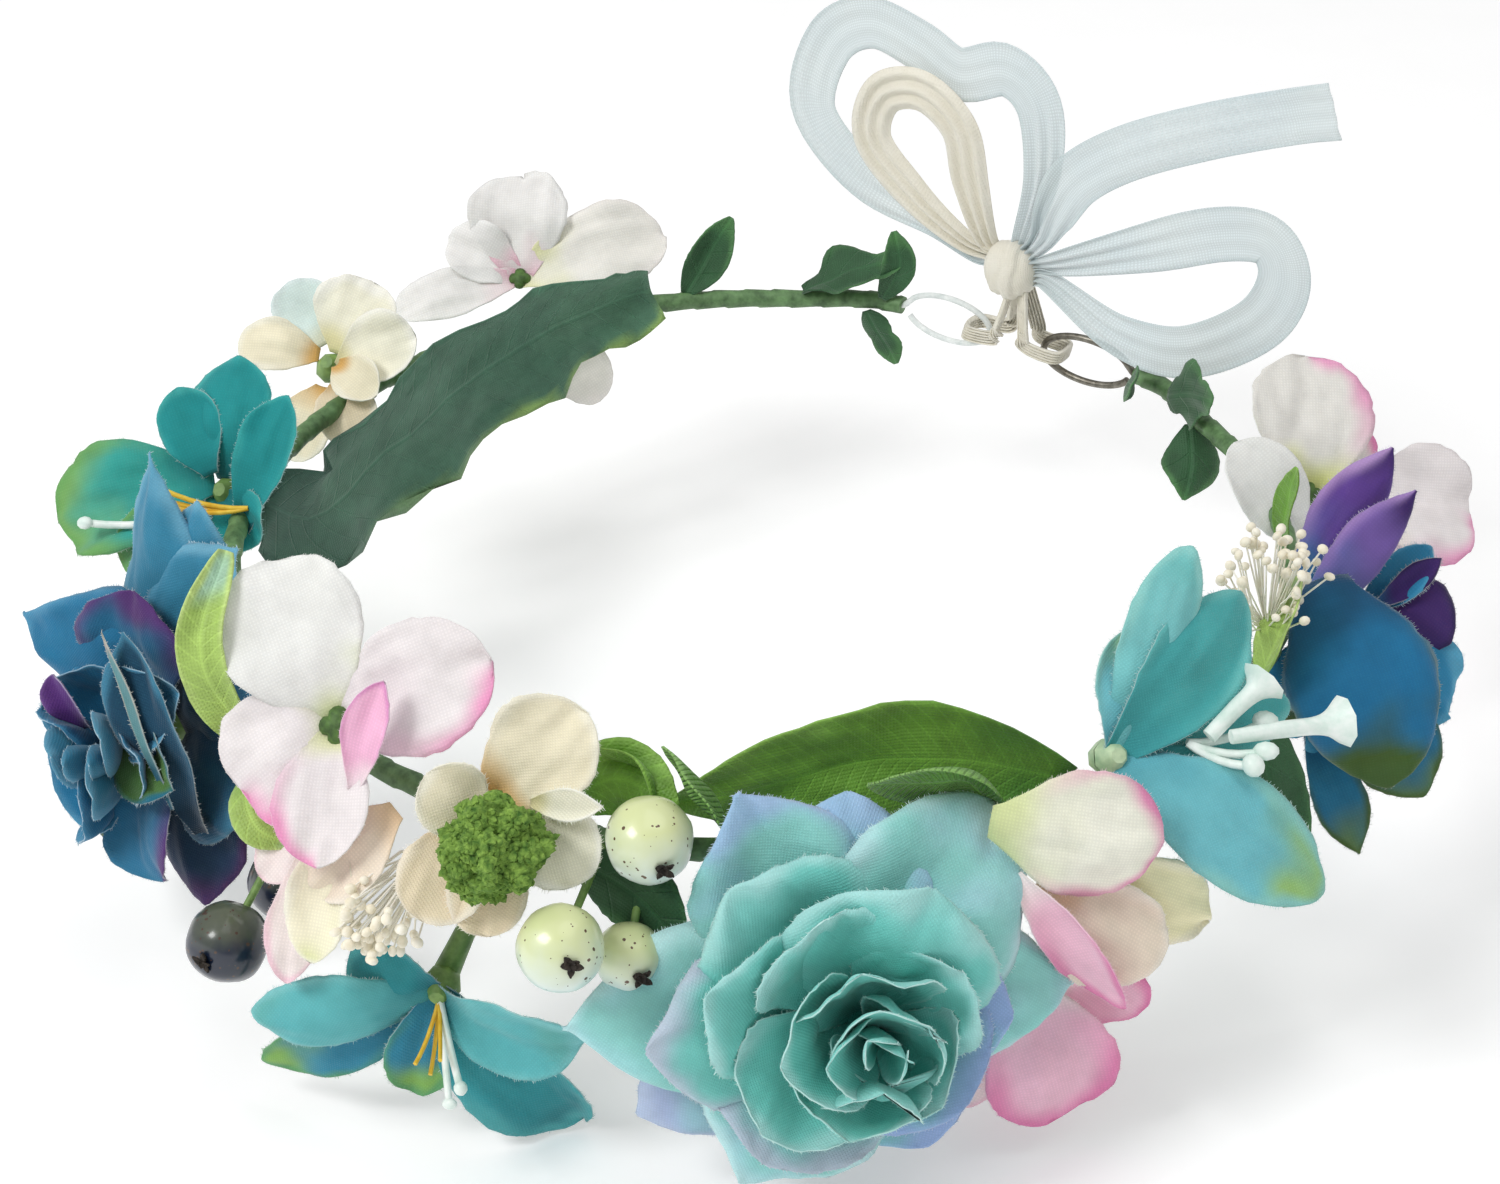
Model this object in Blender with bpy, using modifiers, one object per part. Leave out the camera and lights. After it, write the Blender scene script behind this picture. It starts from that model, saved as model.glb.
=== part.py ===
"""A flower crown: a taped wire ring with silk flowers, leaves and berries, and a ribbon bow at the back.

The origin is the centre of the wire ring, which lies in the XY plane. +Y points to the gap at the back of
the head, +Z up. Metres throughout. A ring angle is measured about +Z from +X, so 90 is the back.
"""

import math

import bmesh
import bpy
from mathutils import Matrix, Vector

# Driving sizes
RING_RADIUS = 0.090
WIRE_RADIUS = 0.0007
TAPE_RADIUS = 0.0019
TAPE_WALL = 0.0008
GAP = 0.0003
ARM_END_X = 0.0260
ARM_END_Y = RING_RADIUS - 0.0025
ARM_BEND = 32.0
EYELET_LENGTH = 0.0200
EYELET_HEIGHT = 0.0090
EYELET_WIRE_RADIUS = 0.0005
SHANK_DEPTH = 0.82
PETAL_THICKNESS = 0.0005
LEAF_THICKNESS = 0.0006
PIN_RADIUS = 0.0009
PIN_HOLE_RADIUS = 0.0016
BERRY_RADIUS = 0.0063
WHORL_STEP = 0.0016
RIBBON_WIDTH = 0.0105
RIBBON_THICKNESS = 0.0006
RIBBON_LAYER = 0.0016
KNOT_RADIUS = 0.0056
KNOT_CENTRE = Vector((-0.0020, ARM_END_Y, 0.0145))
STRAP_RADIUS = 0.0008
STRAP_SPREAD = 0.0024
STRAP_PAST_TIP = 0.0046
STRAP_SHORT_OF_TIP = 0.0012
MOSS_FLOWER_ANGLE = 283

COLOURS = {
    "steel": ((0.45, 0.44, 0.42), 0.35, 1.0),
    "tape": ((0.05, 0.12, 0.04), 0.7, 0.0),
    "leaf": ((0.06, 0.16, 0.05), 0.6, 0.0),
    "bright_leaf": ((0.16, 0.33, 0.06), 0.6, 0.0),
    "turquoise": ((0.30, 0.66, 0.62), 0.8, 0.0),
    "blue": ((0.02, 0.14, 0.25), 0.8, 0.0),
    "teal": ((0.07, 0.38, 0.38), 0.8, 0.0),
    "white_pink": ((0.85, 0.76, 0.76), 0.8, 0.0),
    "cream": ((0.82, 0.74, 0.55), 0.8, 0.0),
    "pale_berry": ((0.66, 0.68, 0.45), 0.3, 0.0),
    "dark_berry": ((0.05, 0.06, 0.05), 0.3, 0.0),
    "moss": ((0.07, 0.18, 0.03), 0.95, 0.0),
    "ribbon": ((0.86, 0.88, 0.84), 0.6, 0.0),
}

for startup_object in list(bpy.data.objects):
    bpy.data.objects.remove(startup_object, do_unlink=True)
crown = bpy.data.collections.new("flower_crown")
bow_pivot = bpy.data.objects.new("bow_pivot", None)


def material(slot):
    if slot in bpy.data.materials:
        return bpy.data.materials[slot]
    colour, roughness, metallic = COLOURS[slot]
    made = bpy.data.materials.new(slot)
    made.use_nodes = True
    shader = made.node_tree.nodes["Principled BSDF"]
    shader.inputs["Base Color"].default_value = (*colour, 1)
    shader.inputs["Roughness"].default_value = roughness
    shader.inputs["Metallic"].default_value = metallic
    return made


def add(name, data, slot, place=None):
    data.materials.append(material(slot))
    obj = bpy.data.objects.new(name, data)
    crown.objects.link(obj)
    if place is not None:
        obj.matrix_world = place
    return obj


def on_ring(angle, out, up):
    """The point at this ring angle, so far outside the wire's circle and so far above its plane."""
    turn = math.radians(angle)
    radius = RING_RADIUS + out
    return Vector((radius * math.cos(turn), radius * math.sin(turn), up))


def heading(azimuth, elevation):
    flat, tilt = math.radians(azimuth), math.radians(elevation)
    return Vector((math.cos(flat) * math.cos(tilt), math.sin(flat) * math.cos(tilt), math.sin(tilt)))


def stand(place, axis, roll=0.0):
    """The matrix that puts a piece's own Z along an axis, at a place."""
    turn = axis.to_track_quat("Z", "Y").to_matrix().to_4x4()
    return Matrix.Translation(place) @ turn @ Matrix.Rotation(math.radians(roll), 4, "Z")


def smooth(points, steps):
    """A Catmull-Rom curve through the points."""
    ends = [2 * points[0] - points[1], *points, 2 * points[-1] - points[-2]]
    curve = []
    for before, start, end, after in zip(ends, ends[1:], ends[2:], ends[3:]):
        for step in range(steps):
            t = step / steps
            curve.append(
                0.5 * (2 * start + (end - before) * t
                       + (2 * before - 5 * start + 4 * end - after) * t ** 2
                       + (3 * start - before - 3 * end + after) * t ** 3)
            )
    return [*curve, points[-1].copy()]


def wire(name, points, radius, slot, radii=None, caps=True, sides=2):
    """A round tube along the points. radii scales it at each point."""
    data = bpy.data.curves.new(name, "CURVE")
    data.dimensions = "3D"
    data.bevel_depth = radius
    data.bevel_resolution = sides
    data.use_fill_caps = caps
    spline = data.splines.new("POLY")
    spline.points.add(len(points) - 1)
    for index, (point, target) in enumerate(zip(points, spline.points)):
        target.co = (*point, 1)
        target.radius = radii[index] if radii else 1.0
    return add(name, data, slot)


def turned(name, profile, slot, place, steps=12):
    """A solid of revolution about its own Z. The profile runs from its top, down its outer side."""
    data = bpy.data.meshes.new(name)
    build = bmesh.new()
    points = [build.verts.new((radius, 0, height)) for radius, height in profile]
    for upper, lower in zip(points, points[1:]):
        build.edges.new((upper, lower))
    build.to_mesh(data)
    build.free()
    obj = add(name, data, slot, place)
    screw = obj.modifiers.new("turn", "SCREW")
    screw.steps = screw.render_steps = steps
    screw.use_merge_vertices = True
    screw.merge_threshold = 0.00005
    return obj


def surface(name, rows, slot, thickness, closed=False, place=None):
    """A thin shell over a grid of points, given row by row."""
    data = bpy.data.meshes.new(name)
    build = bmesh.new()
    grid = [[build.verts.new(point) for point in row] for row in rows]
    for low, high in zip(grid, grid[1:]):
        count = len(low) if closed else len(low) - 1
        for index in range(count):
            after = (index + 1) % len(low)
            build.faces.new((low[index], low[after], high[after], high[index]))
    build.to_mesh(data)
    build.free()
    obj = add(name, data, slot, place)
    shell = obj.modifiers.new("shell", "SOLIDIFY")
    shell.thickness = thickness
    shell.offset = 0
    return obj


# The wire ring, its tape and its eyelets


def arm_point(t):
    """The centre line of the right arm, from the ring at t = 0 to the arm's end, level with X, at t = 1."""
    start = on_ring(90 - ARM_BEND, 0, 0)
    turn = math.radians(90 - ARM_BEND)
    leave = Vector((-math.sin(turn), math.cos(turn), 0))
    end = Vector((ARM_END_X, ARM_END_Y, 0))
    reach = (end - start).length
    return (
        start * (2 * t ** 3 - 3 * t ** 2 + 1) + end * (3 * t ** 2 - 2 * t ** 3)
        + leave * reach * (t ** 3 - 2 * t ** 2 + t) + Vector((-reach, 0, 0)) * (t ** 3 - t ** 2)
    )


def ring_path(steps, first_step=0):
    """The centre line from one arm's end round the head to the other. first_step shortens both arms."""
    arm = [arm_point(step / 5) for step in range(1, 6 - first_step)]
    sweep = 360 - 2 * ARM_BEND
    arc = [on_ring(90 + ARM_BEND + sweep * step / steps, 0, 0) for step in range(steps + 1)]
    left = [Vector((-point.x, point.y, point.z)) for point in reversed(arm)]
    return left + arc + arm


def core_wire():
    wire("core_wire", ring_path(40, first_step=2), WIRE_RADIUS, "steel", sides=1)


def stem_tape():
    """The tape is a tube with open ends, wound round the core wire and the eyelets' shanks."""
    tube = wire("stem_tape", ring_path(40), TAPE_RADIUS - TAPE_WALL / 2, "tape", caps=False, sides=1)
    graph = bpy.context.evaluated_depsgraph_get()
    data = bpy.data.meshes.new_from_object(tube.evaluated_get(graph))
    bpy.data.objects.remove(tube)
    data.name = "stem_tape"
    data.materials.clear()
    tape = add("stem_tape", data, "tape")
    shell = tape.modifiers.new("wall", "SOLIDIFY")
    shell.thickness = TAPE_WALL
    shell.offset = 0


def eyelet(name, side):
    """A shank in the tape's end, then one turn of wire round a long upright loop, back to the shank."""
    root = ARM_END_X - 0.0012
    tip = ARM_END_X - EYELET_LENGTH
    half_height = EYELET_HEIGHT / 2
    middle, half_length = (root + tip) / 2, (root - tip) / 2
    turns = [math.radians(angle) for angle in range(20, 350, 15)]
    loop = [
        Vector((side * (middle + half_length * math.cos(turn)), ARM_END_Y, half_height * math.sin(turn)))
        for turn in turns
    ]
    shank = [arm_point(t) for t in (SHANK_DEPTH, 1.0)]
    for point in shank:
        point.x *= side
    wire(name, shank + loop, EYELET_WIRE_RADIUS, "steel", sides=1)


# Leaves


def leaf(name, spine, width, side, slot, lobes=0):
    """A blade along a spine of points. side points across it, and lobes cuts its edge into points."""
    line = smooth(spine, 4)
    fold = 0.12
    rows = []
    for index, point in enumerate(line):
        t = index / (len(line) - 1)
        ahead = line[min(index + 1, len(line) - 1)] - line[max(index - 1, 0)]
        across = (side - ahead.normalized() * side.dot(ahead.normalized())).normalized()
        lift = across.cross(ahead).normalized()
        half = width / 2 * max(0.10, math.sin(math.pi * min(1.0, 0.06 + t * 0.92)) ** 0.75)
        if lobes:
            half *= 0.55 + 0.45 * abs(math.cos(math.pi * lobes * t))
        rows.append([
            point - across * half + lift * half * fold,
            point,
            point + across * half + lift * half * fold,
        ])
    surface(name, rows, slot, LEAF_THICKNESS)


# Flowers


def petal_whorl(name, petals, slot, place, base, reach, lift, notch=0.6, roll=0.0):
    """Petals cut as one rosette with a hole for the pin: a lobed sheet, dished about the flower's axis.

    Height over the seat depends only on the distance from the axis, so whorls that nest never touch.
    """
    around = petals * 4
    rings = 3
    rows = []
    for ring in range(rings + 1):
        t = ring / rings
        row = []
        for index in range(around):
            turn = 2 * math.pi * index / around
            lobe = notch + (1 - notch) * abs(math.cos(turn * petals / 2)) ** 0.7
            out = PIN_HOLE_RADIUS + (reach * lobe - PIN_HOLE_RADIUS) * t
            height = base + lift * (out / reach) ** 2
            row.append(Vector((out * math.cos(turn), out * math.sin(turn), height)))
        rows.append(row)
    turned_place = place @ Matrix.Rotation(math.radians(roll), 4, "Z")
    surface(name, rows, slot, PETAL_THICKNESS, closed=True, place=turned_place)


def stem(name, angle, seat, axis, slot, calyx=3.0, pin=0.006, calyx_length=0.006, top=None):
    """From the tape to the seat: a thin stem, a calyx under the petals and the pin that they are threaded on.

    calyx is its radius over the pin's, and top is the same for a bundle of stamens above the petals.
    """
    centre = on_ring(angle, 0, 0)
    foot = seat - axis * (calyx_length + GAP)
    toward = (foot - centre).normalized()
    start = centre + toward * (TAPE_RADIUS + GAP)
    points = [
        start, foot, foot + axis * calyx_length * 0.4,
        seat - axis * GAP, seat - axis * GAP * 0.9, seat + axis * pin,
    ]
    radii = [1.0, 1.0, calyx * 0.8, calyx, 1.0, 1.0]
    if top:
        points += [seat + axis * (pin + 0.002), seat + axis * (pin + 0.012)]
        radii += [top, top * 1.3]
    wire(name, points, PIN_RADIUS, slot, radii=radii, sides=1)


def bud(name, slot, place, base, radius, height):
    profile = [
        (0, base + height),
        (radius * 0.55, base + height * 0.92),
        (radius, base + height * 0.55),
        (radius * 0.8, base + height * 0.2),
        (radius * 0.25, base),
        (0, base),
    ]
    turned(name, profile, slot, place, 10)


def rose(name, angle, seat, axis, slot, whorls, bud_size):
    """A calyx with its pin, whorls of petals threaded on it, each steeper than the one outside, and a bud."""
    place = stand(seat, axis)
    pin = WHORL_STEP * len(whorls) + 0.0005
    stem(name + "_calyx", angle, seat, axis, "leaf", pin=pin)
    for index, (label, reach, lift, roll) in enumerate(whorls):
        base = WHORL_STEP * (index + 0.4)
        petal_whorl(f"{name}_{label}", 5, slot, place, base, reach, lift, notch=0.72, roll=roll)
    bud(name + "_bud", slot, place, pin + GAP * 3, *bud_size)


def lily(name, angle, seat, axis, petals, reach, lift, roll):
    place = stand(seat, axis)
    stem(name + "_core", angle, seat, axis, "leaf", calyx=2.6, pin=0.003, top=1.5)
    petal_whorl(name + "_petals", petals, "teal", place, 0.0006, reach, lift, notch=0.32, roll=roll)


def floret(name, angle, seat, axis, petals, reach, lift, roll, slot="white_pink"):
    place = stand(seat, axis)
    stem(name + "_centre", angle, seat, axis, "bright_leaf", calyx=1.8, pin=0.0015, calyx_length=0.004)
    petal_whorl(name + "_petals", petals, slot, place, 0.0006, reach, lift, notch=0.5, roll=roll)


def berry(name, angle, centre, slot):
    """A berry on a straight stem that starts at the tape."""
    root = on_ring(angle, 0, 0)
    away = centre - root
    length = away.length
    profile = [(0, BERRY_RADIUS)]
    for step in range(1, 7):
        turn = math.pi * step / 7
        profile.append((BERRY_RADIUS * math.sin(turn), BERRY_RADIUS * math.cos(turn)))
    stem_end = -(length - TAPE_RADIUS - GAP)
    profile += [(0.0006, -BERRY_RADIUS - 0.0002), (0.0006, stem_end), (0, stem_end)]
    turned(name, profile, slot, stand(centre, away.normalized()), 12)


def spray(name, angle, centre, radius, slot):
    """The outer shape of a spray of tiny buds: a cone that widens from its stem to a round head."""
    root = on_ring(angle, 0, 0)
    away = centre - root
    stem_end = -(away.length - TAPE_RADIUS - GAP)
    profile = [(0, radius * 0.7), (radius * 0.7, radius * 0.55), (radius, 0), (radius * 0.6, -radius)]
    profile += [(0.0008, min(stem_end * 0.8, -radius * 1.3)), (0.0008, stem_end), (0, stem_end)]
    turned(name, profile, slot, stand(centre, away.normalized()), 10)


# The ribbon bow, in upright layers through the knot, swinging on the line through the eyelets


def bend_radius(line, index):
    """The radius that the line turns on at one of its points."""
    before, here, after = line[max(index - 1, 0)], line[index], line[min(index + 1, len(line) - 1)]
    turn = 0.0 if before == here or here == after else (here - before).angle(after - here)
    return (after - before).length / 2 / max(turn, 0.001)


def band(name, middle, layer, width=1.0, taper_end=True):
    """A flat ribbon in an upright plane, gathered where it meets the knot and where it turns tightly.

    middle holds (x, z) points of its centre line, from the knot, and width is its share of the full width.
    """
    line = smooth([Vector((x, z, 0)) for x, z in middle], 5)
    left, right = [], []
    for index, point in enumerate(line):
        t = index / (len(line) - 1)
        ahead = (line[min(index + 1, len(line) - 1)] - line[max(index - 1, 0)]).normalized()
        across = Vector((-ahead.y, ahead.x, 0))
        nearest_end = min(t, 1 - t) if taper_end else t
        half = RIBBON_WIDTH / 2 * width * min(1.0, 0.25 + 4.0 * nearest_end)
        half = min(half, 0.8 * bend_radius(line, index))
        left.append(point + across * half)
        right.append(point - across * half)
    data = bpy.data.curves.new(name, "CURVE")
    data.dimensions = "2D"
    data.fill_mode = "BOTH"
    data.extrude = RIBBON_THICKNESS / 2
    outline = left + right[::-1]
    spline = data.splines.new("POLY")
    spline.points.add(len(outline) - 1)
    for point, target in zip(outline, spline.points):
        target.co = (point.x, point.y, 0, 1)
    spline.use_cyclic_u = True
    upright = Matrix.Rotation(math.radians(90), 4, "X")
    place = Matrix.Translation(KNOT_CENTRE + Vector((0, layer * RIBBON_LAYER, 0))) @ upright
    obj = add(name, data, "ribbon", place)
    hang_on_pivot(obj)


def hang_on_pivot(obj):
    obj.parent = bow_pivot
    obj.matrix_parent_inverse = bow_pivot.matrix_world.inverted()


def strap(name, side):
    """The gathered ribbon that leaves the knot, passes through an eyelet's hole and comes back."""
    tip = ARM_END_X - EYELET_LENGTH
    through = tip + STRAP_PAST_TIP
    clear = tip - STRAP_SHORT_OF_TIP
    knot_x, knot_y, knot_z = KNOT_CENTRE
    leave = knot_z - KNOT_RADIUS - 0.0016

    def leg(way):
        return [
            Vector((side * 0.0016, knot_y + way * 0.0014, leave)),
            Vector((side * clear * 0.8, knot_y + way * STRAP_SPREAD, 0.0030)),
            Vector((side * clear, knot_y + way * STRAP_SPREAD, 0.0006)),
            Vector((side * (through - 0.0012), knot_y + way * STRAP_SPREAD, 0)),
            Vector((side * (through - 0.0002), knot_y + way * STRAP_SPREAD * 0.6, 0)),
        ]

    points = leg(-1) + [Vector((side * through, knot_y, 0))] + leg(1)[::-1]
    hang_on_pivot(wire(name, points, STRAP_RADIUS, "ribbon", sides=1))


def knot():
    turns = [math.pi * step / 8 for step in range(9)]
    profile = [(KNOT_RADIUS * math.sin(turn), KNOT_RADIUS * math.cos(turn)) for turn in turns]
    hang_on_pivot(turned("bow_knot", profile, "ribbon", Matrix.Translation(KNOT_CENTRE), 14))


def build_bow():
    crown.objects.link(bow_pivot)
    bow_pivot.location = (0, ARM_END_Y, 0)
    bpy.context.view_layer.update()
    knot()
    band("bow_large_loop", [
        (-0.0080, 0.0008), (-0.0183, 0.0050), (-0.0345, 0.0097), (-0.0470, 0.0215), (-0.0437, 0.0360),
        (-0.0341, 0.0427), (-0.0229, 0.0402), (-0.0139, 0.0367), (-0.0040, 0.0395), (0.0038, 0.0335),
        (0.0050, 0.0198), (0.0018, 0.0088),
    ], 1)
    band("bow_small_loop", [
        (-0.0080, 0.0040), (-0.0219, 0.0108), (-0.0310, 0.0198), (-0.0290, 0.0290),
        (-0.0204, 0.0320), (-0.0125, 0.0265), (-0.0080, 0.0161), (-0.0034, 0.0086),
    ], -1, width=0.6)
    band("bow_right_loop", [
        (0.0088, -0.0010), (0.0250, -0.0064), (0.0390, -0.0058), (0.0510, 0.0020), (0.0560, 0.0115),
        (0.0520, 0.0190), (0.0410, 0.0190), (0.0280, 0.0125), (0.0088, 0.0044),
    ], -1, width=0.9)
    band("bow_tail", [
        (0.0054, 0.0074), (0.0081, 0.0134), (0.0125, 0.0210), (0.0224, 0.0285), (0.0384, 0.0365),
        (0.0620, 0.0460),
    ], 0, width=0.85, taper_end=False)
    strap("left_ribbon_strap", -1)
    strap("right_ribbon_strap", 1)


def build_frame():
    core_wire()
    stem_tape()
    eyelet("left_eyelet", -1)
    eyelet("right_eyelet", 1)


def build_leaves():
    clear = TAPE_RADIUS + GAP + LEAF_THICKNESS
    beside = TAPE_RADIUS + GAP * 3
    leaf("left_vine_leaf_rear",
         [on_ring(134, 0, clear), on_ring(131, 0.002, 0.008), on_ring(128, 0.003, 0.015)],
         0.007, heading(40, 0), "leaf")
    leaf("left_vine_leaf_pair",
         [on_ring(119, 0, clear), on_ring(114, 0.001, 0.006), on_ring(107, 0.002, 0.008)],
         0.008, heading(100, 20), "leaf", lobes=2)
    leaf("left_vine_leaf_hanging",
         [on_ring(111, 0, -clear - 0.0004), on_ring(109, 0, -0.007), on_ring(107, 0, -0.0115)],
         0.008, heading(10, 0), "leaf", lobes=1)
    leaf("right_vine_leaf_pair",
         [on_ring(66, -0.0015, clear), on_ring(61, -0.003, 0.006), on_ring(56, -0.003, 0.008)],
         0.008, heading(60, -20), "leaf", lobes=2)
    leaf("right_vine_leaf_low",
         [on_ring(62, -0.001, -clear - 0.0004), on_ring(59, -0.003, -0.007), on_ring(57, -0.006, -0.011)],
         0.009, heading(330, 10), "leaf", lobes=1)
    leaf("long_leaf",
         [on_ring(208, -beside, 0.0), on_ring(200, -0.0080, -0.009), on_ring(184, -0.0110, -0.006),
          on_ring(168, -0.0110, -0.001), on_ring(153, -0.0090, 0.003), on_ring(139, -0.0060, 0.006)],
         0.0250, Vector((0, 0, 1)), "leaf")
    leaf("front_leaf",
         [on_ring(337, -beside, 0.001), on_ring(322, -0.0090, 0.008), on_ring(308, -0.0080, 0.007),
          on_ring(296, -0.0060, 0.003)],
         0.0200, heading(306, 60), "bright_leaf")
    leaf("right_ribbed_leaf",
         [on_ring(327, 0.0010, 0.0040), on_ring(322, 0.0030, 0.011), on_ring(314, 0.0030, 0.013)],
         0.0090, heading(300, 50), "bright_leaf")
    leaf("left_twist_leaf",
         [on_ring(254, 0.0020, clear), on_ring(248, 0.005, 0.012), on_ring(240, 0.003, 0.026)],
         0.0090, heading(320, 20), "bright_leaf")
    leaf("right_low_leaf",
         [on_ring(1, beside, 0), on_ring(358, 0.010, -0.014), on_ring(354, 0.018, -0.026)],
         0.0100, heading(40, 20), "leaf")


def build_roses():
    """Each whorl gives its reach, its lift and its turn in degrees, and each bud its radius and height."""
    rose("turquoise_rose", 306, on_ring(310, 0.008, -0.013), heading(310, 22), "turquoise",
         [("outer_petals", 0.0325, 0.010, 36), ("middle_petals", 0.027, 0.016, 0),
          ("inner_petals", 0.018, 0.019, 10)],
         (0.0075, 0.019))
    rose("left_blue_rose", 240, on_ring(240, 0.010, -0.011), heading(251, 3), "blue",
         [("outer_petals", 0.029, 0.010, 20), ("inner_petals", 0.019, 0.014, 56)],
         (0.0070, 0.017))
    rose("right_blue_rose", 16, on_ring(15, 0.009, -0.005), heading(12, 24), "blue",
         [("outer_petals", 0.027, 0.010, 0), ("inner_petals", 0.018, 0.014, 36)],
         (0.0065, 0.016))


def build_small_flowers():
    """Each ends with its number of petals, their reach and lift, and their turn in degrees."""
    lily("front_lily", 281, on_ring(277.5, 0.013, -0.021), heading(278, -24), 6, 0.022, 0.007, 15)
    lily("rear_lily", 207, on_ring(207, 0.009, 0.004), heading(215, 45), 6, 0.024, 0.007, 0)
    lily("right_lily", 345, on_ring(345, 0.010, 0.006), heading(352, 25), 6, 0.026, 0.009, 0)
    floret("pink_floret", 264, on_ring(265.5, 0.011, 0.013), heading(277, 40), 4, 0.024, 0.003, 20)
    floret("rear_white_floret", 151, on_ring(151, 0.009, 0.006), heading(160, 35), 4, 0.026, 0.004, 10)
    floret("right_white_floret", 45, on_ring(45, 0.009, 0.004), heading(38, 50), 4, 0.022, 0.004, 20)
    floret("low_pink_floret", 331, on_ring(332.5, 0.012, -0.019), heading(330, -14), 4, 0.0190, 0.003, 50)
    moss_seat, moss_axis = on_ring(MOSS_FLOWER_ANGLE, 0.010, 0.005), heading(288, 40)
    floret("cream_flower", MOSS_FLOWER_ANGLE, moss_seat, moss_axis, 5, 0.0145, 0.003, 0, "cream")
    turned("moss_ball", [(0, 0.0150), (0.0050, 0.0130), (0.0072, 0.0088), (0.0056, 0.0045), (0, 0.0025)],
           "moss", stand(moss_seat, moss_axis), 10)
    rear_seat = on_ring(178, 0.008, 0.006)
    floret("rear_cream_flower", 178, rear_seat, heading(190, 50), 5, 0.021, 0.004, 0, "cream")


def build_small_pieces():
    berry("pale_berry_left", 290, on_ring(290, 0.0157 + BERRY_RADIUS, -0.003), "pale_berry")
    berry("pale_berry_right", 295.5, on_ring(295.3, 0.0022 + BERRY_RADIUS, 0.0075), "pale_berry")
    berry("dark_berry_front", 258, on_ring(259, 0.0177 + BERRY_RADIUS, -0.025), "dark_berry")
    berry("dark_berry_back", 256, on_ring(255, 0.0017 + BERRY_RADIUS, -0.026), "dark_berry")
    spray("left_babys_breath", 275, on_ring(275, 0.020, -0.0055), 0.0056, "cream")
    spray("right_babys_breath", 6, on_ring(8, 0.000, 0.014), 0.0060, "cream")
    wire("cut_stem", [on_ring(334, 0.0052, 0.003), on_ring(329, 0.0052, 0.004)], 0.0020, "pale_berry")


def main():
    bpy.context.scene.collection.children.link(crown)
    build_frame()
    build_leaves()
    build_roses()
    build_small_flowers()
    build_small_pieces()
    build_bow()
    bpy.context.view_layer.update()


main()
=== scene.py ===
"""Dresses a flower crown: dyed petals, leaves, berries and a ribbon bow over its frame, and a small studio.

Lengths are metres, except where a name or a comment says mm. A flower is laid out from its seat in the front
frame, in mm: x runs to the right, y up and z out towards the crown's front three-quarter side.
"""

import math
import random
from collections import namedtuple

import bpy
from mathutils import Matrix, Vector, noise


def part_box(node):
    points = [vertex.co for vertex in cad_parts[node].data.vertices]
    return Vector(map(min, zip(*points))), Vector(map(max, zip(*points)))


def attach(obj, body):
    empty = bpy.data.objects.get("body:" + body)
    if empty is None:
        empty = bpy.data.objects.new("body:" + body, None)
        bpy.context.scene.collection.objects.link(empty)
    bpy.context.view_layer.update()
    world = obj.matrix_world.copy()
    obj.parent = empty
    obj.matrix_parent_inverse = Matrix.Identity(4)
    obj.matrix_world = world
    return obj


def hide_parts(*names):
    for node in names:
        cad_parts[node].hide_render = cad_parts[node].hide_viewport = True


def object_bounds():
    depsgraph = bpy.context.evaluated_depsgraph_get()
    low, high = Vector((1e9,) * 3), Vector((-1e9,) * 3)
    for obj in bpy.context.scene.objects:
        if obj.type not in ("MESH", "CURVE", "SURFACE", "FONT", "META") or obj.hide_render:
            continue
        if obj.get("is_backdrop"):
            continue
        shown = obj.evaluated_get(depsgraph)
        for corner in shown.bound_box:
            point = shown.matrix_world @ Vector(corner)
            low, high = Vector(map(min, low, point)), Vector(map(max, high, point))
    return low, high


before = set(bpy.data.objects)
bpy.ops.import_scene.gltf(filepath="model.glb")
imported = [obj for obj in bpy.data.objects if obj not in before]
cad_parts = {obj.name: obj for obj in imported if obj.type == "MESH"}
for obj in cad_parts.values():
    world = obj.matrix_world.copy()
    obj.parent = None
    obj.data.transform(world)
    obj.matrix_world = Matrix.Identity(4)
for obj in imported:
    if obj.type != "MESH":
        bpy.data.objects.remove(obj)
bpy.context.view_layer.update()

bl_info = {
    "name": "Flower Crown",
    "version": (1, 0, 0),
    "blender": (4, 5, 0),
    "location": "View3D > Sidebar > Flower Crown",
    "description": "Builds the petals, leaves, berries and ribbon of a flower crown around its frame",
    "category": "Object",
}

MM = 0.001

# Sizes of the frame: the ring's and the knot's are read from its pieces, and the others repeat the wire's own
TAPE_RADIUS = 0.0019
TAPE_LOW, TAPE_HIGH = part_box("stem_tape")
RING_RADIUS = (TAPE_HIGH.x - TAPE_LOW.x) / 2 - TAPE_RADIUS
ARM_END_X = 0.0260
ARM_END_Y = RING_RADIUS - 0.0025
ARM_BEND = 32.0
EYELET_LENGTH = 0.0200
EYELET_HALF_HEIGHT = 0.0045
KNOT_LOW, KNOT_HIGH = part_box("bow_knot")
KNOT = (KNOT_LOW + KNOT_HIGH) / 2

PETAL_THICKNESS = 0.00022
LEAF_THICKNESS = 0.00030
RIBBON_THICKNESS = 0.00016
THREAD_SPACING = 0.0003

# How finely a petal is drawn, the height of its broad bends and fine creases in mm, and its patches of dye
CELLS_ACROSS = 20
CELLS_ALONG = 24
BROAD_BEND = 2.6
FINE_CREASE = 0.75
PATCH_SCALE = 140
PATCH_SHARE = 0.24

POLE_WELD = 0.00001
EYE_LOBES = 4
MOSS_RADIUS = 0.0064
EYELET_WELD_GAP = 0.0012

# ---------------------------------------------------------------- places and curves


def on_ring(angle, out, up):
    """The point at this angle of the wire ring, so far outside its circle and so far above its plane."""
    turn = math.radians(angle)
    radius = RING_RADIUS + out
    return Vector((radius * math.cos(turn), radius * math.sin(turn), up))


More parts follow.
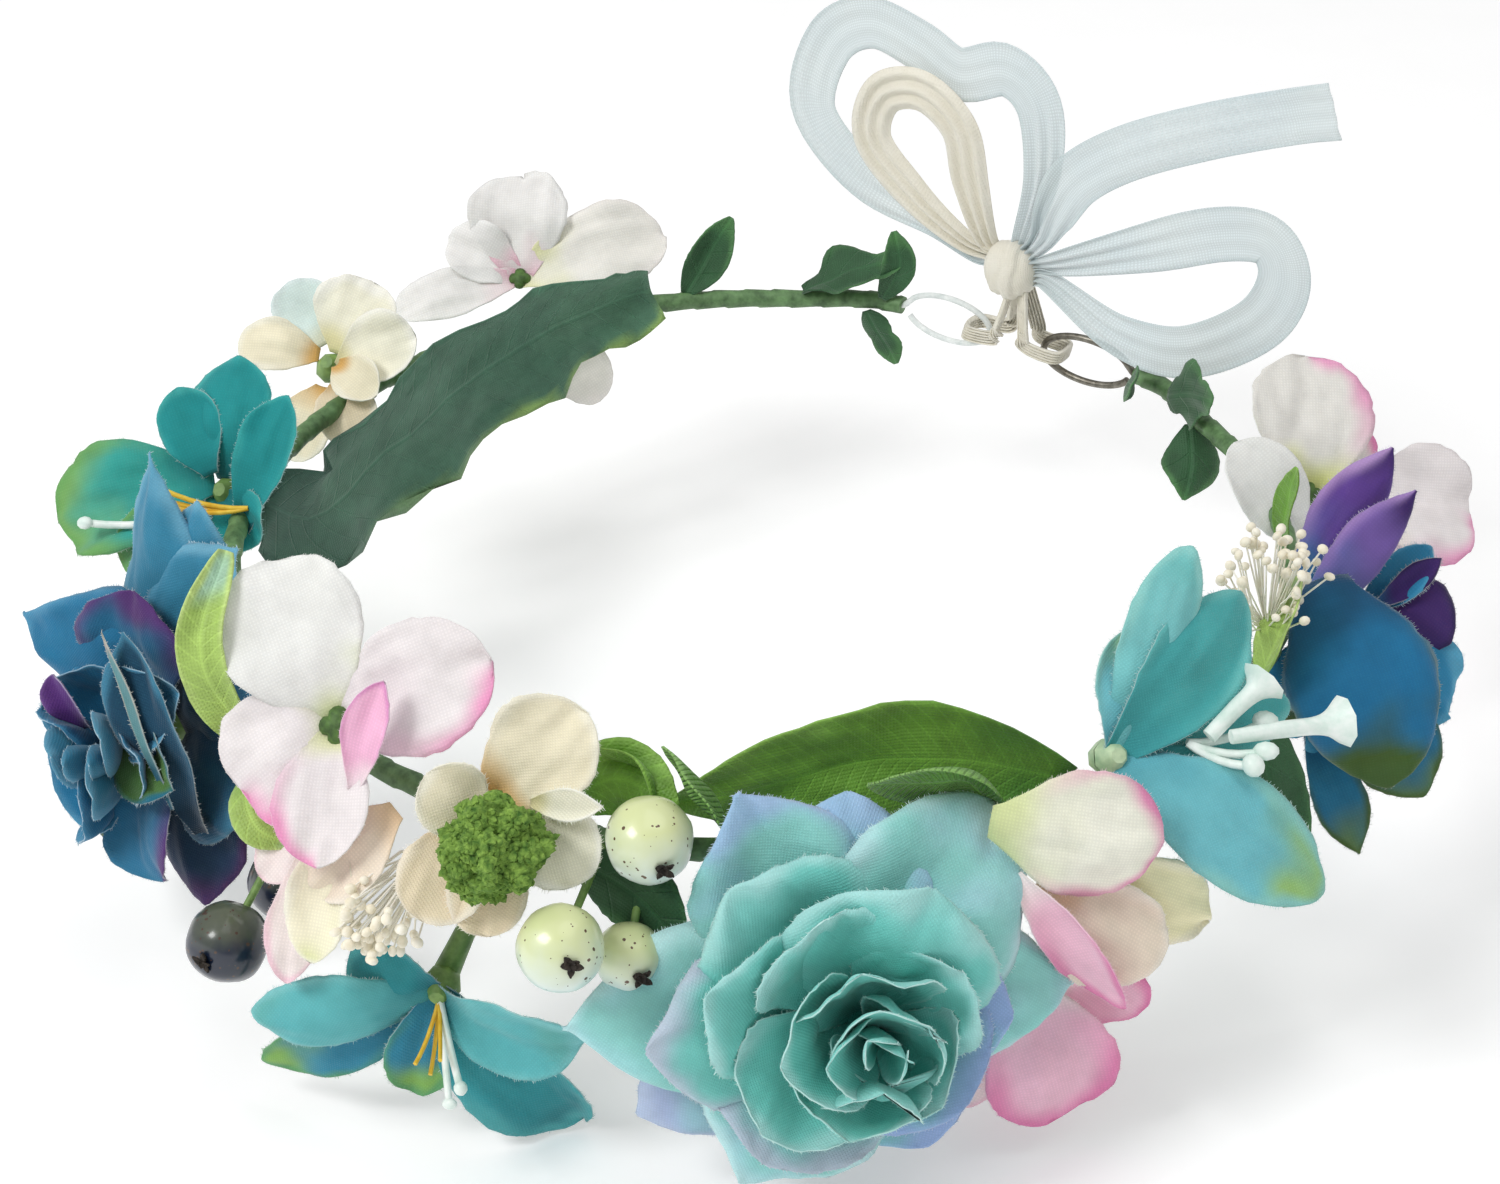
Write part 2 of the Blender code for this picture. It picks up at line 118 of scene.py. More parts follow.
def heading(azimuth, elevation):
    """The direction at this angle round the crown and this angle above its plane."""
    flat, tilt = math.radians(azimuth), math.radians(elevation)
    return Vector((math.cos(flat) * math.cos(tilt), math.sin(flat) * math.cos(tilt), math.sin(tilt)))


# The front frame: the crown's front three-quarter side, and the ways to its right and up
FRONT = heading(304.5, 31)
RIGHT = heading(304.5 - 270, 0)
UP = FRONT.cross(RIGHT)


def turned_to_front(x, y, z):
    """A direction in the front frame, given in the crown's own axes."""
    return RIGHT * x + UP * y + FRONT * z


def smooth_step(low, high, value):
    t = min(1.0, max(0.0, (value - low) / (high - low)))
    return t * t * (3 - 2 * t)


def mix(a, b, share):
    return tuple(x + (y - x) * share for x, y in zip(a, b))


def linear(hex_colour):
    """The linear colour of an sRGB hex value."""
    parts = [int(hex_colour[i : i + 2], 16) / 255 for i in (1, 3, 5)]
    return tuple(c / 12.92 if c <= 0.04045 else ((c + 0.055) / 1.055) ** 2.4 for c in parts)


def catmull_rom(points, t):
    """The point at t, from 0 to 1, of a smooth curve through the points."""
    ends = [2 * points[0] - points[1], *points, 2 * points[-1] - points[-2]]
    position = min(t, 0.99999) * (len(points) - 1)
    index = int(position)
    t = position - index
    before, start, end, after = ends[index : index + 4]
    return 0.5 * (
        2 * start + (end - before) * t
        + (2 * before - 5 * start + 4 * end - after) * t ** 2
        + (3 * start - before - 3 * end + after) * t ** 3
    )


# ---------------------------------------------------------------- materials


def add_node(tree, kind, inputs=None, **settings):
    """Adds a node, sets its properties, and fills its inputs with values or with other nodes' outputs."""
    made = tree.nodes.new(kind)
    for name, value in settings.items():
        setattr(made, name, value)
    for name, value in (inputs or {}).items():
        if isinstance(value, bpy.types.NodeSocket):
            tree.links.new(value, made.inputs[name])
        else:
            made.inputs[name].default_value = value
    return made


def blank_material(name):
    """A new material with only its output, and the tree that the caller fills."""
    made = bpy.data.materials.new(name)
    made.use_nodes = True
    tree = made.node_tree
    tree.nodes.clear()
    return made, tree


def finish_material(tree, inputs):
    shader = add_node(tree, "ShaderNodeBsdfPrincipled", inputs)
    add_node(tree, "ShaderNodeOutputMaterial", {"Surface": shader.outputs[0]})


def weave_height(tree, spacing_mm, turn):
    """The height of a plain weave: two sets of threads laid over the cloth's own map, which is in mm."""
    wave_per_mm = 2 * math.pi / 20
    cloth_map = add_node(tree, "ShaderNodeUVMap", uv_map="cloth")
    turned = add_node(
        tree, "ShaderNodeMapping",
        {"Vector": cloth_map.outputs[0], "Rotation": (0, 0, turn), "Scale": (1 / spacing_mm,) * 3},
    )
    threads = [
        add_node(
            tree, "ShaderNodeTexWave",
            {"Vector": turned.outputs[0], "Scale": wave_per_mm, "Distortion": 0.6, "Detail Scale": 0.3},
            bands_direction=direction,
        ).outputs["Fac"]
        for direction in ("X", "Y")
    ]
    return add_node(tree, "ShaderNodeMath", {0: threads[0], 1: threads[1]}, operation="MULTIPLY").outputs[0]


def dyed_cloth(name, side="dye", spacing_mm=0.42, turn=0.6, sheen=0.2, depth=0.35, roughness=0.8):
    """Stiffened polyester petal cloth, woven and airbrushed: matt, with a soft sheen and a fine weave.

    The real threads are 0.15 mm apart. They are drawn wider, so that the weave shows.
    """
    made, tree = blank_material(name)
    colour = add_node(tree, "ShaderNodeAttribute", attribute_name=side).outputs["Color"]
    place = add_node(tree, "ShaderNodeTexCoord").outputs["Object"]
    blotch = add_node(
        tree, "ShaderNodeTexNoise", {"Vector": place, "Scale": 160.0, "Detail": 4.0, "Roughness": 0.6}
    )
    weave = weave_height(tree, spacing_mm, turn)
    shade = add_node(
        tree, "ShaderNodeMapRange",
        {"Value": blotch.outputs["Fac"], "From Min": 0.3, "From Max": 0.7, "To Min": 0.90, "To Max": 1.07},
    )
    threads = add_node(tree, "ShaderNodeMapRange", {"Value": weave, "To Min": 0.93, "To Max": 1.05})
    dark = add_node(
        tree, "ShaderNodeMath", {0: shade.outputs[0], 1: threads.outputs[0]}, operation="MULTIPLY"
    )
    tinted = add_node(tree, "ShaderNodeVectorMath", {0: colour, "Scale": dark.outputs[0]}, operation="SCALE")
    crease = add_node(tree, "ShaderNodeTexNoise", {"Vector": place, "Scale": 420.0, "Detail": 3.0})
    relief = add_node(tree, "ShaderNodeBump", {"Height": weave, "Strength": depth, "Distance": 0.0002})
    relief = add_node(
        tree, "ShaderNodeBump",
        {"Height": crease.outputs["Fac"], "Strength": 0.30, "Distance": 0.0005, "Normal": relief.outputs[0]},
    )
    finish_material(tree, {
        "Base Color": tinted.outputs[0], "Roughness": roughness, "Specular IOR Level": 0.25,
        "Sheen Weight": sheen, "Sheen Roughness": 0.4, "Normal": relief.outputs[0],
        "Subsurface Weight": 0.12, "Subsurface Radius": (0.0016, 0.0014, 0.0012), "Subsurface Scale": 1.0,
    })
    return made


def pale_fray_and_highlight(name, mottle, least, most, pale, roughness, sheen):
    """Polyester where the cloth ends, paler than the rest by an uneven share: partly frayed fibre that the
    dye misses, and on a petal's cut edge also a painted highlight.
    """
    made, tree = blank_material(name)
    colour = add_node(tree, "ShaderNodeAttribute", attribute_name="dye").outputs["Color"]
    place = add_node(tree, "ShaderNodeTexCoord").outputs["Object"]
    uneven = add_node(tree, "ShaderNodeTexNoise", {"Vector": place, "Scale": mottle}).outputs["Fac"]
    # The paler share is partly undyed fray and partly a painted highlight on the cut edge
    share = add_node(tree, "ShaderNodeMapRange", {"Value": uneven, "To Min": least, "To Max": most})
    paler = add_node(
        tree, "ShaderNodeMix",
        {"Factor": share.outputs[0], 6: colour, 7: (*linear(pale), 1)}, data_type="RGBA",
    )
    finish_material(tree, {"Base Color": paler.outputs[2], "Roughness": roughness, "Sheen Weight": sheen})
    return made


def leaf_cloth(name, vein_mm, vein_depth, spacing_mm, roughness=0.62):
    """Resin-stiffened polyester leaf: printed green, with veins pressed in by a hot mould."""
    made, tree = blank_material(name)
    colour = add_node(tree, "ShaderNodeAttribute", attribute_name="dye").outputs["Color"]
    place = add_node(tree, "ShaderNodeTexCoord").outputs["Object"]
    cloth_map = add_node(tree, "ShaderNodeUVMap", uv_map="cloth")
    parts = add_node(tree, "ShaderNodeSeparateXYZ", {0: cloth_map.outputs[0]})
    from_rib = add_node(tree, "ShaderNodeMath", {0: parts.outputs["X"]}, operation="ABSOLUTE").outputs[0]
    rise = add_node(tree, "ShaderNodeMath", {0: from_rib, 1: 0.85}, operation="MULTIPLY").outputs[0]
    slanted = add_node(tree, "ShaderNodeMath", {0: parts.outputs["Y"], 1: rise}, operation="SUBTRACT")
    between = add_node(
        tree, "ShaderNodeMath", {0: slanted.outputs[0], 1: vein_mm / 2}, operation="PINGPONG"
    ).outputs[0]
    vein, rib = (
        add_node(
            tree, "ShaderNodeMapRange",
            {"Value": distance, "From Min": near, "From Max": far, "To Min": 1.0, "To Max": 0.0},
        ).outputs[0]
        for distance, near, far in ((between, 0.0, 0.32), (from_rib, 0.12, 0.55))
    )
    line = add_node(tree, "ShaderNodeMath", {0: vein, 1: rib}, operation="MAXIMUM").outputs[0]
    blotch = add_node(
        tree, "ShaderNodeTexNoise", {"Vector": place, "Scale": 190.0, "Detail": 5.0, "Roughness": 0.65}
    )
    shade = add_node(
        tree, "ShaderNodeMapRange",
        {"Value": blotch.outputs["Fac"], "From Min": 0.25, "From Max": 0.75, "To Min": 0.72, "To Max": 1.25},
    )
    paler = add_node(tree, "ShaderNodeMath", {0: line, 1: 0.22}, operation="MULTIPLY").outputs[0]
    lifted = add_node(tree, "ShaderNodeMath", {0: shade.outputs[0], 1: paler}, operation="ADD").outputs[0]
    tinted = add_node(tree, "ShaderNodeVectorMath", {0: colour, "Scale": lifted}, operation="SCALE")
    weave = weave_height(tree, spacing_mm, 0.0)
    relief = add_node(tree, "ShaderNodeBump", {"Height": weave, "Strength": 0.4, "Distance": 0.0002})
    pressed = add_node(
        tree, "ShaderNodeBump",
        {"Height": line, "Strength": vein_depth, "Distance": 0.0004, "Normal": relief.outputs[0]},
        invert=True,
    )
    finish_material(tree, {
        "Base Color": tinted.outputs[0], "Roughness": roughness, "Sheen Weight": 0.15,
        "Specular IOR Level": 0.35, "Normal": pressed.outputs[0],
    })
    return made


def organza():
    """Sheer nylon organza ribbon: crisp, see-through and a little shiny, denser along its woven edges."""
    made, tree = blank_material("Sheer organza ribbon")
    edge = add_node(tree, "ShaderNodeAttribute", attribute_name="rim").outputs["Fac"]
    dense = add_node(
        tree, "ShaderNodeMapRange",
        {"Value": edge, "From Min": 0.80, "From Max": 0.97, "To Min": 0.0, "To Max": 0.22},
    )
    weave = weave_height(tree, 0.5, 0.0)
    threads = add_node(tree, "ShaderNodeMapRange", {"Value": weave, "To Min": 0.50, "To Max": 0.72})
    cover = add_node(tree, "ShaderNodeMath", {0: threads.outputs[0], 1: dense.outputs[0]}, operation="ADD")
    place = add_node(tree, "ShaderNodeTexCoord").outputs["Object"]
    cloud = add_node(tree, "ShaderNodeTexNoise", {"Vector": place, "Scale": 60.0, "Detail": 3.0})
    colour = add_node(
        tree, "ShaderNodeMix",
        {"Factor": cloud.outputs["Fac"], 6: (*linear("#CBDBE0"), 1), 7: (*linear("#E0E8E6"), 1)},
        data_type="RGBA",
    )
    relief = add_node(tree, "ShaderNodeBump", {"Height": weave, "Strength": 0.2, "Distance": 0.0001})
    finish_material(tree, {
        "Base Color": colour.outputs[2], "Roughness": 0.45, "Sheen Weight": 0.4, "Alpha": cover.outputs[0],
        "Specular IOR Level": 0.4, "Normal": relief.outputs[0],
    })
    return made


def gathered_organza():
    """Organza where it is folded on itself in the knot and the straps: cream, because more layers overlap."""
    made, tree = blank_material("Gathered organza")
    weave = weave_height(tree, 0.5, 0.2)
    place = add_node(tree, "ShaderNodeTexCoord").outputs["Object"]
    cloud = add_node(tree, "ShaderNodeTexNoise", {"Vector": place, "Scale": 220.0, "Detail": 4.0})
    colour = add_node(
        tree, "ShaderNodeMix",
        {"Factor": cloud.outputs["Fac"], 6: (*linear("#E6E0CC"), 1), 7: (*linear("#F6F2E6"), 1)},
        data_type="RGBA",
    )
    relief = add_node(tree, "ShaderNodeBump", {"Height": weave, "Strength": 0.4, "Distance": 0.0002})
    finish_material(tree, {
        "Base Color": colour.outputs[2], "Roughness": 0.5, "Sheen Weight": 0.4, "Alpha": 0.9,
        "Normal": relief.outputs[0],
    })
    return made


def lacquered_foam(name, top, bottom, speck, specks, speck_mm, start):
    """Painted foam berry: two airbrushed colours, flecked with paint, and shiny from a dip in lacquer."""
    made, tree = blank_material(name)
    place = add_node(tree, "ShaderNodeTexCoord").outputs["Object"]
    height = add_node(tree, "ShaderNodeAttribute", attribute_name="level").outputs["Fac"]
    wander = add_node(tree, "ShaderNodeTexNoise", {"Vector": place, "Scale": 260.0, "Detail": 3.0})
    drift = add_node(tree, "ShaderNodeMath", {0: wander.outputs["Fac"], 1: 0.35}, operation="MULTIPLY")
    level = add_node(tree, "ShaderNodeMath", {0: height, 1: drift.outputs[0]}, operation="ADD").outputs[0]
    blend = add_node(tree, "ShaderNodeMapRange", {"Value": level, "From Min": start, "From Max": start + 0.6})
    body = add_node(
        tree, "ShaderNodeMix",
        {"Factor": blend.outputs[0], 6: (*linear(bottom), 1), 7: (*linear(top), 1)}, data_type="RGBA",
    )
    cells = add_node(
        tree, "ShaderNodeTexVoronoi", {"Vector": place, "Scale": 1000 / speck_mm, "Randomness": 1.0}
    ).outputs["Distance"]
    size = add_node(tree, "ShaderNodeTexNoise", {"Vector": place, "Scale": 480.0})
    limit = add_node(
        tree, "ShaderNodeMapRange",
        {"Value": size.outputs["Fac"], "From Min": 0.45, "From Max": 0.75, "To Min": 0.0, "To Max": specks},
    )
    fleck = add_node(tree, "ShaderNodeMath", {0: cells, 1: limit.outputs[0]}, operation="LESS_THAN")
    painted = add_node(
        tree, "ShaderNodeMix", {"Factor": fleck.outputs[0], 6: body.outputs[2], 7: (*linear(speck), 1)},
        data_type="RGBA",
    )
    relief = add_node(
        tree, "ShaderNodeBump", {"Height": wander.outputs["Fac"], "Strength": 0.12, "Distance": 0.0004}
    )
    finish_material(tree, {
        "Base Color": painted.outputs[2], "Roughness": 0.32, "Coat Weight": 0.45, "Coat Roughness": 0.12,
        "Normal": relief.outputs[0],
    })
    return made


def grained(name, dark, light, scale, roughness, bump, **more):
    """Two close colours in a fine grain with matching relief, for parts moulded or dipped in one colour."""
    made, tree = blank_material(name)
    place = add_node(tree, "ShaderNodeTexCoord").outputs["Object"]
    grain = add_node(
        tree, "ShaderNodeTexNoise", {"Vector": place, "Scale": scale, "Detail": 4.0, "Roughness": 0.6}
    ).outputs["Fac"]
    spread = add_node(tree, "ShaderNodeMapRange", {"Value": grain, "From Min": 0.3, "From Max": 0.7})
    colour = add_node(
        tree, "ShaderNodeMix",
        {"Factor": spread.outputs[0], 6: (*linear(dark), 1), 7: (*linear(light), 1)}, data_type="RGBA",
    )
    relief = add_node(tree, "ShaderNodeBump", {"Height": grain, "Strength": bump, "Distance": 0.0004})
    finish_material(tree, {
        "Base Color": colour.outputs[2], "Roughness": roughness, "Normal": relief.outputs[0], **more,
    })
    return made


MAKERS = {
    "petal": lambda: dyed_cloth("Airbrushed petal cloth"),
    "petal back": lambda: dyed_cloth("Back of petal cloth", side="under"),
    "soft petal": lambda: dyed_cloth("Soft petal cloth", depth=0.18, spacing_mm=0.5, turn=0.0),
    "soft petal back": lambda: dyed_cloth("Back of soft petal cloth", side="under", depth=0.18),
    # A hair of fused cloth left by the hot cutter. Its paleness is partly undyed fray and partly a painted
    # highlight where it catches the light
    "edge": lambda: pale_fray_and_highlight("Cut edge of petal cloth", 700.0, 0.05, 0.42, "#EFF5F1", 0.75, 0.2),
    # Loose threads of the weave, thin and much paler than the petal
    "thread": lambda: pale_fray_and_highlight("Frayed polyester thread", 900.0, 0.15, 0.75, "#F2F6F2", 0.7, 0.3),
    # Heavy leaf cloth with pressed side veins 5 mm apart, dull like waxed cotton
    "dark leaf": lambda: leaf_cloth("Waxed leaf cloth", 5.0, 0.5, 0.45, 0.6),
    # Finer leaf cloth, in which only close veins show
    "bright leaf": lambda: leaf_cloth("Satin leaf cloth", 2.2, 0.25, 0.5, 0.5),
    # Coarse open weave, the strongest relief of the leaves
    "ribbed leaf": lambda: leaf_cloth("Ribbed leaf cloth", 0.9, 0.9, 0.6, 0.7),
    "organza": organza,
    "gathered": gathered_organza,
    "pale berry": lambda: lacquered_foam(
        "Lacquered pale berry", top="#D6DEA6", bottom="#D9E6DE", speck="#5B4128", specks=0.40, speck_mm=1.0,
        start=0.45,
    ),
    "dark berry": lambda: lacquered_foam(
        "Lacquered dark berry", top="#6E7556", bottom="#141F33", speck="#4A3427", specks=0.50, speck_mm=0.9,
        start=0.80,
    ),
    # Waxed crepe paper wound in a spiral: uneven, slightly shiny green
    "tape": lambda: grained("Waxed florist's tape", "#3C5A34", "#6E9460", 420.0, 0.55, 0.6),
    # Annealed iron wire, dull grey with a brown bloom
    "wire": lambda: grained("Annealed iron wire", "#5F5A50", "#98948A", 700.0, 0.42, 0.25, Metallic=1.0),
    # Paper-covered wire, chalky white
    "white wire": lambda: grained("Paper covered wire", "#D7DEDC", "#F4F7F5", 600.0, 0.6, 0.3),
    "calyx": lambda: grained("Moulded polythene calyx", "#4F6F35", "#86A85C", 320.0, 0.5, 0.3),
    "pale calyx": lambda: grained("Pale moulded calyx", "#8DB08A", "#C9DDB6", 320.0, 0.5, 0.3),
    # Flocked foam crumbs, matt and soft, with deep gaps
    "moss": lambda: grained("Flocked moss foam", "#3D6420", "#8DB04E", 900.0, 0.95, 0.9),
    "bud": lambda: grained("Dipped stamen bud", "#E9DFC4", "#FBF7EA", 500.0, 0.5, 0.35),
    "filament": lambda: grained("Waxed stamen thread", "#EFEAD8", "#FBFAF3", 500.0, 0.6, 0.2),
    "yellow filament": lambda: grained("Yellow stamen thread", "#D9A514", "#F2CF4A", 500.0, 0.55, 0.2),
    "white stamen": lambda: grained("Moulded white stamen", "#CFE4DA", "#F5FAF6", 300.0, 0.45, 0.3),
    "dried tip": lambda: grained("Dried blossom end", "#14110D", "#3A3128", 800.0, 0.8, 0.8),
    "floret eye": lambda: grained("Dark moulded floret eye", "#2E4A1C", "#547A34", 700.0, 0.6, 0.6),
    "glue": lambda: grained("Hot glue thread", "#E8EAE4", "#F8F9F6", 300.0, 0.25, 0.2),
    "cut stem": lambda: grained("Cut plastic stem", "#D9D08A", "#F1EDC4", 350.0, 0.45, 0.4),
}


MADE = {}


def finish(name):
    """The material of this short name, made the first time it is asked for."""
    made = bpy.data.materials.get(MADE.get(name, ""))
    if made is None:
        made = MAKERS[name]()
        MADE[name] = made.name
    return made


# ---------------------------------------------------------------- dyes

# root, body, rim and tip colour the upper side and under the back. The ends say where each one stops.
Dye = namedtuple("Dye", "root body rim tip under root_end rim_start tip_start side")


def dye(body, root=None, rim=None, tip=None, under=None, root_end=0.35, rim_start=0.72, tip_start=0.7,
        side=0):
    """A petal's colours as hex values. side puts the rim's on the left, -1, the right, 1, or both, 0."""
    linear_ones = [part if isinstance(part, tuple) else linear(part)
                   for part in (root or body, body, rim or body, tip or body, under or body)]
    return Dye(*linear_ones, root_end, rim_start, tip_start, side)


def dyed(colours, along, across, rim, patch):
    """The dye's colour on the upper side and on the back, at these shares of the petal's length and width."""
    patch = patch * PATCH_SHARE
    side = 1.0 if not colours.side else smooth_step(-0.2, 0.7, across * colours.side)
    rim_share = smooth_step(colours.rim_start, 1.0, rim + patch) * side * smooth_step(0.15, 0.75, along)
    top = mix(colours.root, colours.body, smooth_step(0.0, colours.root_end, along + patch))
    top = mix(top, colours.tip, smooth_step(colours.tip_start, 1.0, along + patch))
    return mix(top, colours.rim, rim_share), mix(colours.under, colours.rim, rim_share * 0.6)


# ---------------------------------------------------------------- cloth


class Cloth:
    """Open surfaces that together become one piece, with the dye, edge and map that the materials read."""

    def __init__(self):
        self.points, self.faces, self.maps = [], [], []
        self.dye, self.under, self.rim, self.outward = [], [], [], []


def outline(along, point, widest):
    """The half width of a petal at this share of its length: a narrow base, then a round or a pointed end."""
    base = 0.25
    if along < widest:
        return base + (1 - base) * math.sin(math.pi / 2 * along / widest) ** 1.2
    t = (along - widest) / (1 - widest)
    return max(0.03, (1 - t * t) ** (0.5 + 0.7 * point))


def lay(cloth, line, width, colours, face=None, side=None, point=0.3, widest=0.58, cup=0.0, roll=(0.0, 0.0),
        ruffle=0.0, waves=2.0, twist=0.0, fringe=0.02, seed=0, shape=None, crumple=1.0):
    """Lays one cut of cloth along a line, a function from 0 to 1.

    face is the way its upper side looks, or side the way its right edge points. cup bends both edges up and
    roll each edge back, in radians. ruffle waves the edges, in metres, and crumple scales the broad bends and
    the fine creases that stiffened cloth keeps from handling.
    """
    dice = random.Random(seed)
    phase, phase_across = dice.uniform(0, 6.28), dice.uniform(0, 6.28)
    first = len(cloth.points)
    length = sum((line((i + 1) / 12) - line(i / 12)).length for i in range(12))
    for row in range(CELLS_ALONG + 1):
        even = row / CELLS_ALONG
        u = 0.35 * even + 0.65 * math.sin(math.pi / 2 * even)
        here = line(u)
        ahead = (line(min(1.0, u + 0.01)) - line(max(0.0, u - 0.01))).normalized()
        if side is not None:
            across_way = (side - ahead * side.dot(ahead)).normalized()
            normal = across_way.cross(ahead)
        else:
            normal = (face - ahead * face.dot(ahead)).normalized()
            across_way = ahead.cross(normal)
        turn = Matrix.Rotation(twist * u, 3, ahead)
        across_way, normal = turn @ across_way, turn @ normal
        half = width / 2 * (shape(u) if shape else outline(u, point, widest))
        bend = cup * (1 - 0.35 * u)
        for way in (-1, 1):
            strip = []
            lateral = height = 0.0
            roll_here = roll[0 if way < 0 else 1] * smooth_step(0.1, 0.7, u)
            half_cells = CELLS_ACROSS // 2
            for cell in range(half_cells + 1):
                v = cell / half_cells
                if cell:
                    middle = (cell - 0.5) / half_cells
                    angle = bend * middle * 1.6 - roll_here * smooth_step(0.45, 1.0, middle) * 1.8
                    lateral += half / half_cells * math.cos(angle)
                    height += half / half_cells * math.sin(angle)
                wave = ruffle * (v ** 2 * math.sin(2 * math.pi * waves * u + phase + way)
                                 + 0.6 * u ** 3 * math.sin(3 * v * way + phase_across))
                uneven = noise.noise(Vector((u * 19 + seed, way * v * 7, seed * 1.7)))
                rough = fringe * width * v ** 6 * uneven
                flat_x, flat_y = way * lateral / MM, u * length / MM
                bend_noise = noise.noise(Vector((flat_x * 0.11, flat_y * 0.07, seed * 0.37)))
                crease = noise.noise(Vector((flat_x * 0.42, flat_y * 0.12, seed * 0.73)))
                handled = BROAD_BEND * bend_noise + FINE_CREASE * crease
                crush = crumple * MM * handled * smooth_step(0.05, 0.5, u)
                place = here + across_way * way * (lateral + rough) + normal * (height + wave + crush)
                rim = 1 - min(half * (1 - v), length * (1 - u)) / (width / 2)
                outward = across_way * way * v + ahead * max(0, u - 0.5)
                strip.append((place, way * v, rim, way * lateral, outward))
            if way < 0:
                left = strip[:0:-1]
            else:
                whole = left + strip
        for place, v, rim, lateral, outward in whole:
            patch = noise.noise(place * PATCH_SCALE + Vector((seed, 0, 0)))
            top, under = dyed(colours, u, v, rim, patch)
            cloth.points.append(place)
            cloth.maps.append((lateral / MM, u * length / MM))
            cloth.dye.append((*top, 1))
            cloth.under.append((*under, 1))
            cloth.rim.append(max(abs(v), smooth_step(0.9, 1.0, u)))
            cloth.outward.append(outward.normalized() if outward.length > 0 else ahead)
    stride = CELLS_ACROSS + 1
    for row in range(CELLS_ALONG):
        for cell in range(CELLS_ACROSS):
            a = first + row * stride + cell
            cloth.faces.append((a, a + 1, a + stride + 1, a + stride))


def put_in_scene(obj):
    bpy.context.scene.collection.objects.link(obj)
    return obj


def settle(obj):
    """Makes what the modifiers give the object's own plain mesh, and takes the modifiers off."""
    graph = bpy.context.evaluated_depsgraph_get()
    mesh = bpy.data.meshes.new_from_object(
        obj.evaluated_get(graph), preserve_all_data_layers=True, depsgraph=graph
    )
    old = obj.data
    obj.modifiers.clear()
    obj.data = mesh
    if isinstance(old, bpy.types.Mesh):
        bpy.data.meshes.remove(old)
    return obj


def cloth_mesh(name, cloth):
    mesh = bpy.data.meshes.new(name)
    mesh.from_pydata(cloth.points, [], cloth.faces)
    add_cloth_map(mesh, cloth.maps)
    for label, kind, field, values in (
        ("dye", "FLOAT_COLOR", "color", cloth.dye), ("under", "FLOAT_COLOR", "color", cloth.under),
        ("rim", "FLOAT", "value", cloth.rim), ("outward", "FLOAT_VECTOR", "vector", cloth.outward),
    ):
        made = mesh.attributes.new(label, kind, "POINT")
        flat = [part for value in values for part in value] if kind != "FLOAT" else values
        made.data.foreach_set(field, flat)
    mesh.shade_smooth()
    return mesh


def sew(name, cloth, finishes, thickness=PETAL_THICKNESS):
    """Gives the cloth its thickness. finishes are the short names for its upper side, back and cut edge."""
    obj = put_in_scene(bpy.data.objects.new(name, cloth_mesh(name, cloth)))
    for short in finishes:
        obj.data.materials.append(finish(short))
    shell = obj.modifiers.new("shell", "SOLIDIFY")
    shell.thickness = thickness
    shell.offset = 0
    shell.material_offset = min(1, len(finishes) - 1)
    shell.material_offset_rim = len(finishes) - 1
    return settle(obj)


def round_shell(name, rows, sides, place):
    """A ball-like mesh and a note on each of its points.

    place gives a point with its note, from the angle down from the first pole and the angle round the axis.
    """
    spots = [
        place(math.pi * row / rows, 2 * math.pi * step / sides)
        for row in range(rows + 1)
        for step in range(sides)
    ]
    faces = []
    for row in range(rows):
        a, b = row * sides, (row + 1) * sides
        for step in range(sides):
            after = (step + 1) % sides
            faces.append((a + step, b + step, b + after, a + after))
    mesh = bpy.data.meshes.new(name)
    mesh.from_pydata([point for point, note in spots], [], faces)
    return put_in_scene(bpy.data.objects.new(name, mesh)), [note for point, note in spots]


def close_poles(obj):
    """Makes one point of those that meet at each pole of a round shell."""
    weld = obj.modifiers.new("poles", "WELD")
    weld.merge_threshold = POLE_WELD
    return settle(obj)


def add_cloth_map(mesh, maps):
    """Stores the flat place, in mm, of each point as the map that the weave is drawn on."""
    layer = mesh.uv_layers.new(name="cloth")
    for loop in mesh.loops:
        layer.data[loop.index].uv = maps[loop.vertex_index]


def ride(obj, body, slot, *nodes):
    """The piece moves with that body and stands for those nodes. slot is not used."""
    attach(obj, body)
    if nodes:
        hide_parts(*nodes)
    return obj


# ---------------------------------------------------------------- repeated small things, by Geometry Nodes


class Tree:
    """A Geometry Nodes group with named inputs, built node by node."""

    def __init__(self, name, inputs):
        self.group = bpy.data.node_groups.new(name, "GeometryNodeTree")
        self.group.interface.new_socket("Geometry", in_out="INPUT", socket_type="NodeSocketGeometry")
        for label, kind in inputs.items():
            self.group.interface.new_socket(label, in_out="INPUT", socket_type="NodeSocket" + kind)
        self.group.interface.new_socket("Geometry", in_out="OUTPUT", socket_type="NodeSocketGeometry")
        self.inputs = self.group.nodes.new("NodeGroupInput").outputs

    def add(self, kind, inputs=None, **settings):
        return add_node(self.group, kind, inputs, **settings)

    def first(self, kind, inputs=None, **settings):
        """Adds a node and gives its first output."""
        return self.add(kind, inputs, **settings).outputs[0]

    def join(self, *parts):
        both = self.add("GeometryNodeJoinGeometry")
        for part in parts:
            self.group.links.new(part, both.inputs[0])
        return both.outputs[0]

    def close(self, geometry, material=None):
        """Ends the tree with real geometry in this material, or with the geometry as it is."""
        if material:
            real = self.first("GeometryNodeRealizeInstances", {0: geometry})
            geometry = self.first("GeometryNodeSetMaterial", {0: real, "Material": material})
        self.add("NodeGroupOutput", {0: geometry})
        return self.group


def grow(obj, tree, values):
    """Runs a tree on an object with these input values, and keeps the plain mesh that it makes."""
    modifier = obj.modifiers.new("grow", "NODES")
    modifier.node_group = tree
    identifiers = {item.name: item.identifier for item in tree.interface.items_tree if item.in_out == "INPUT"}
    for label, value in values.items():
        modifier[identifiers[label]] = value
    return settle(obj)


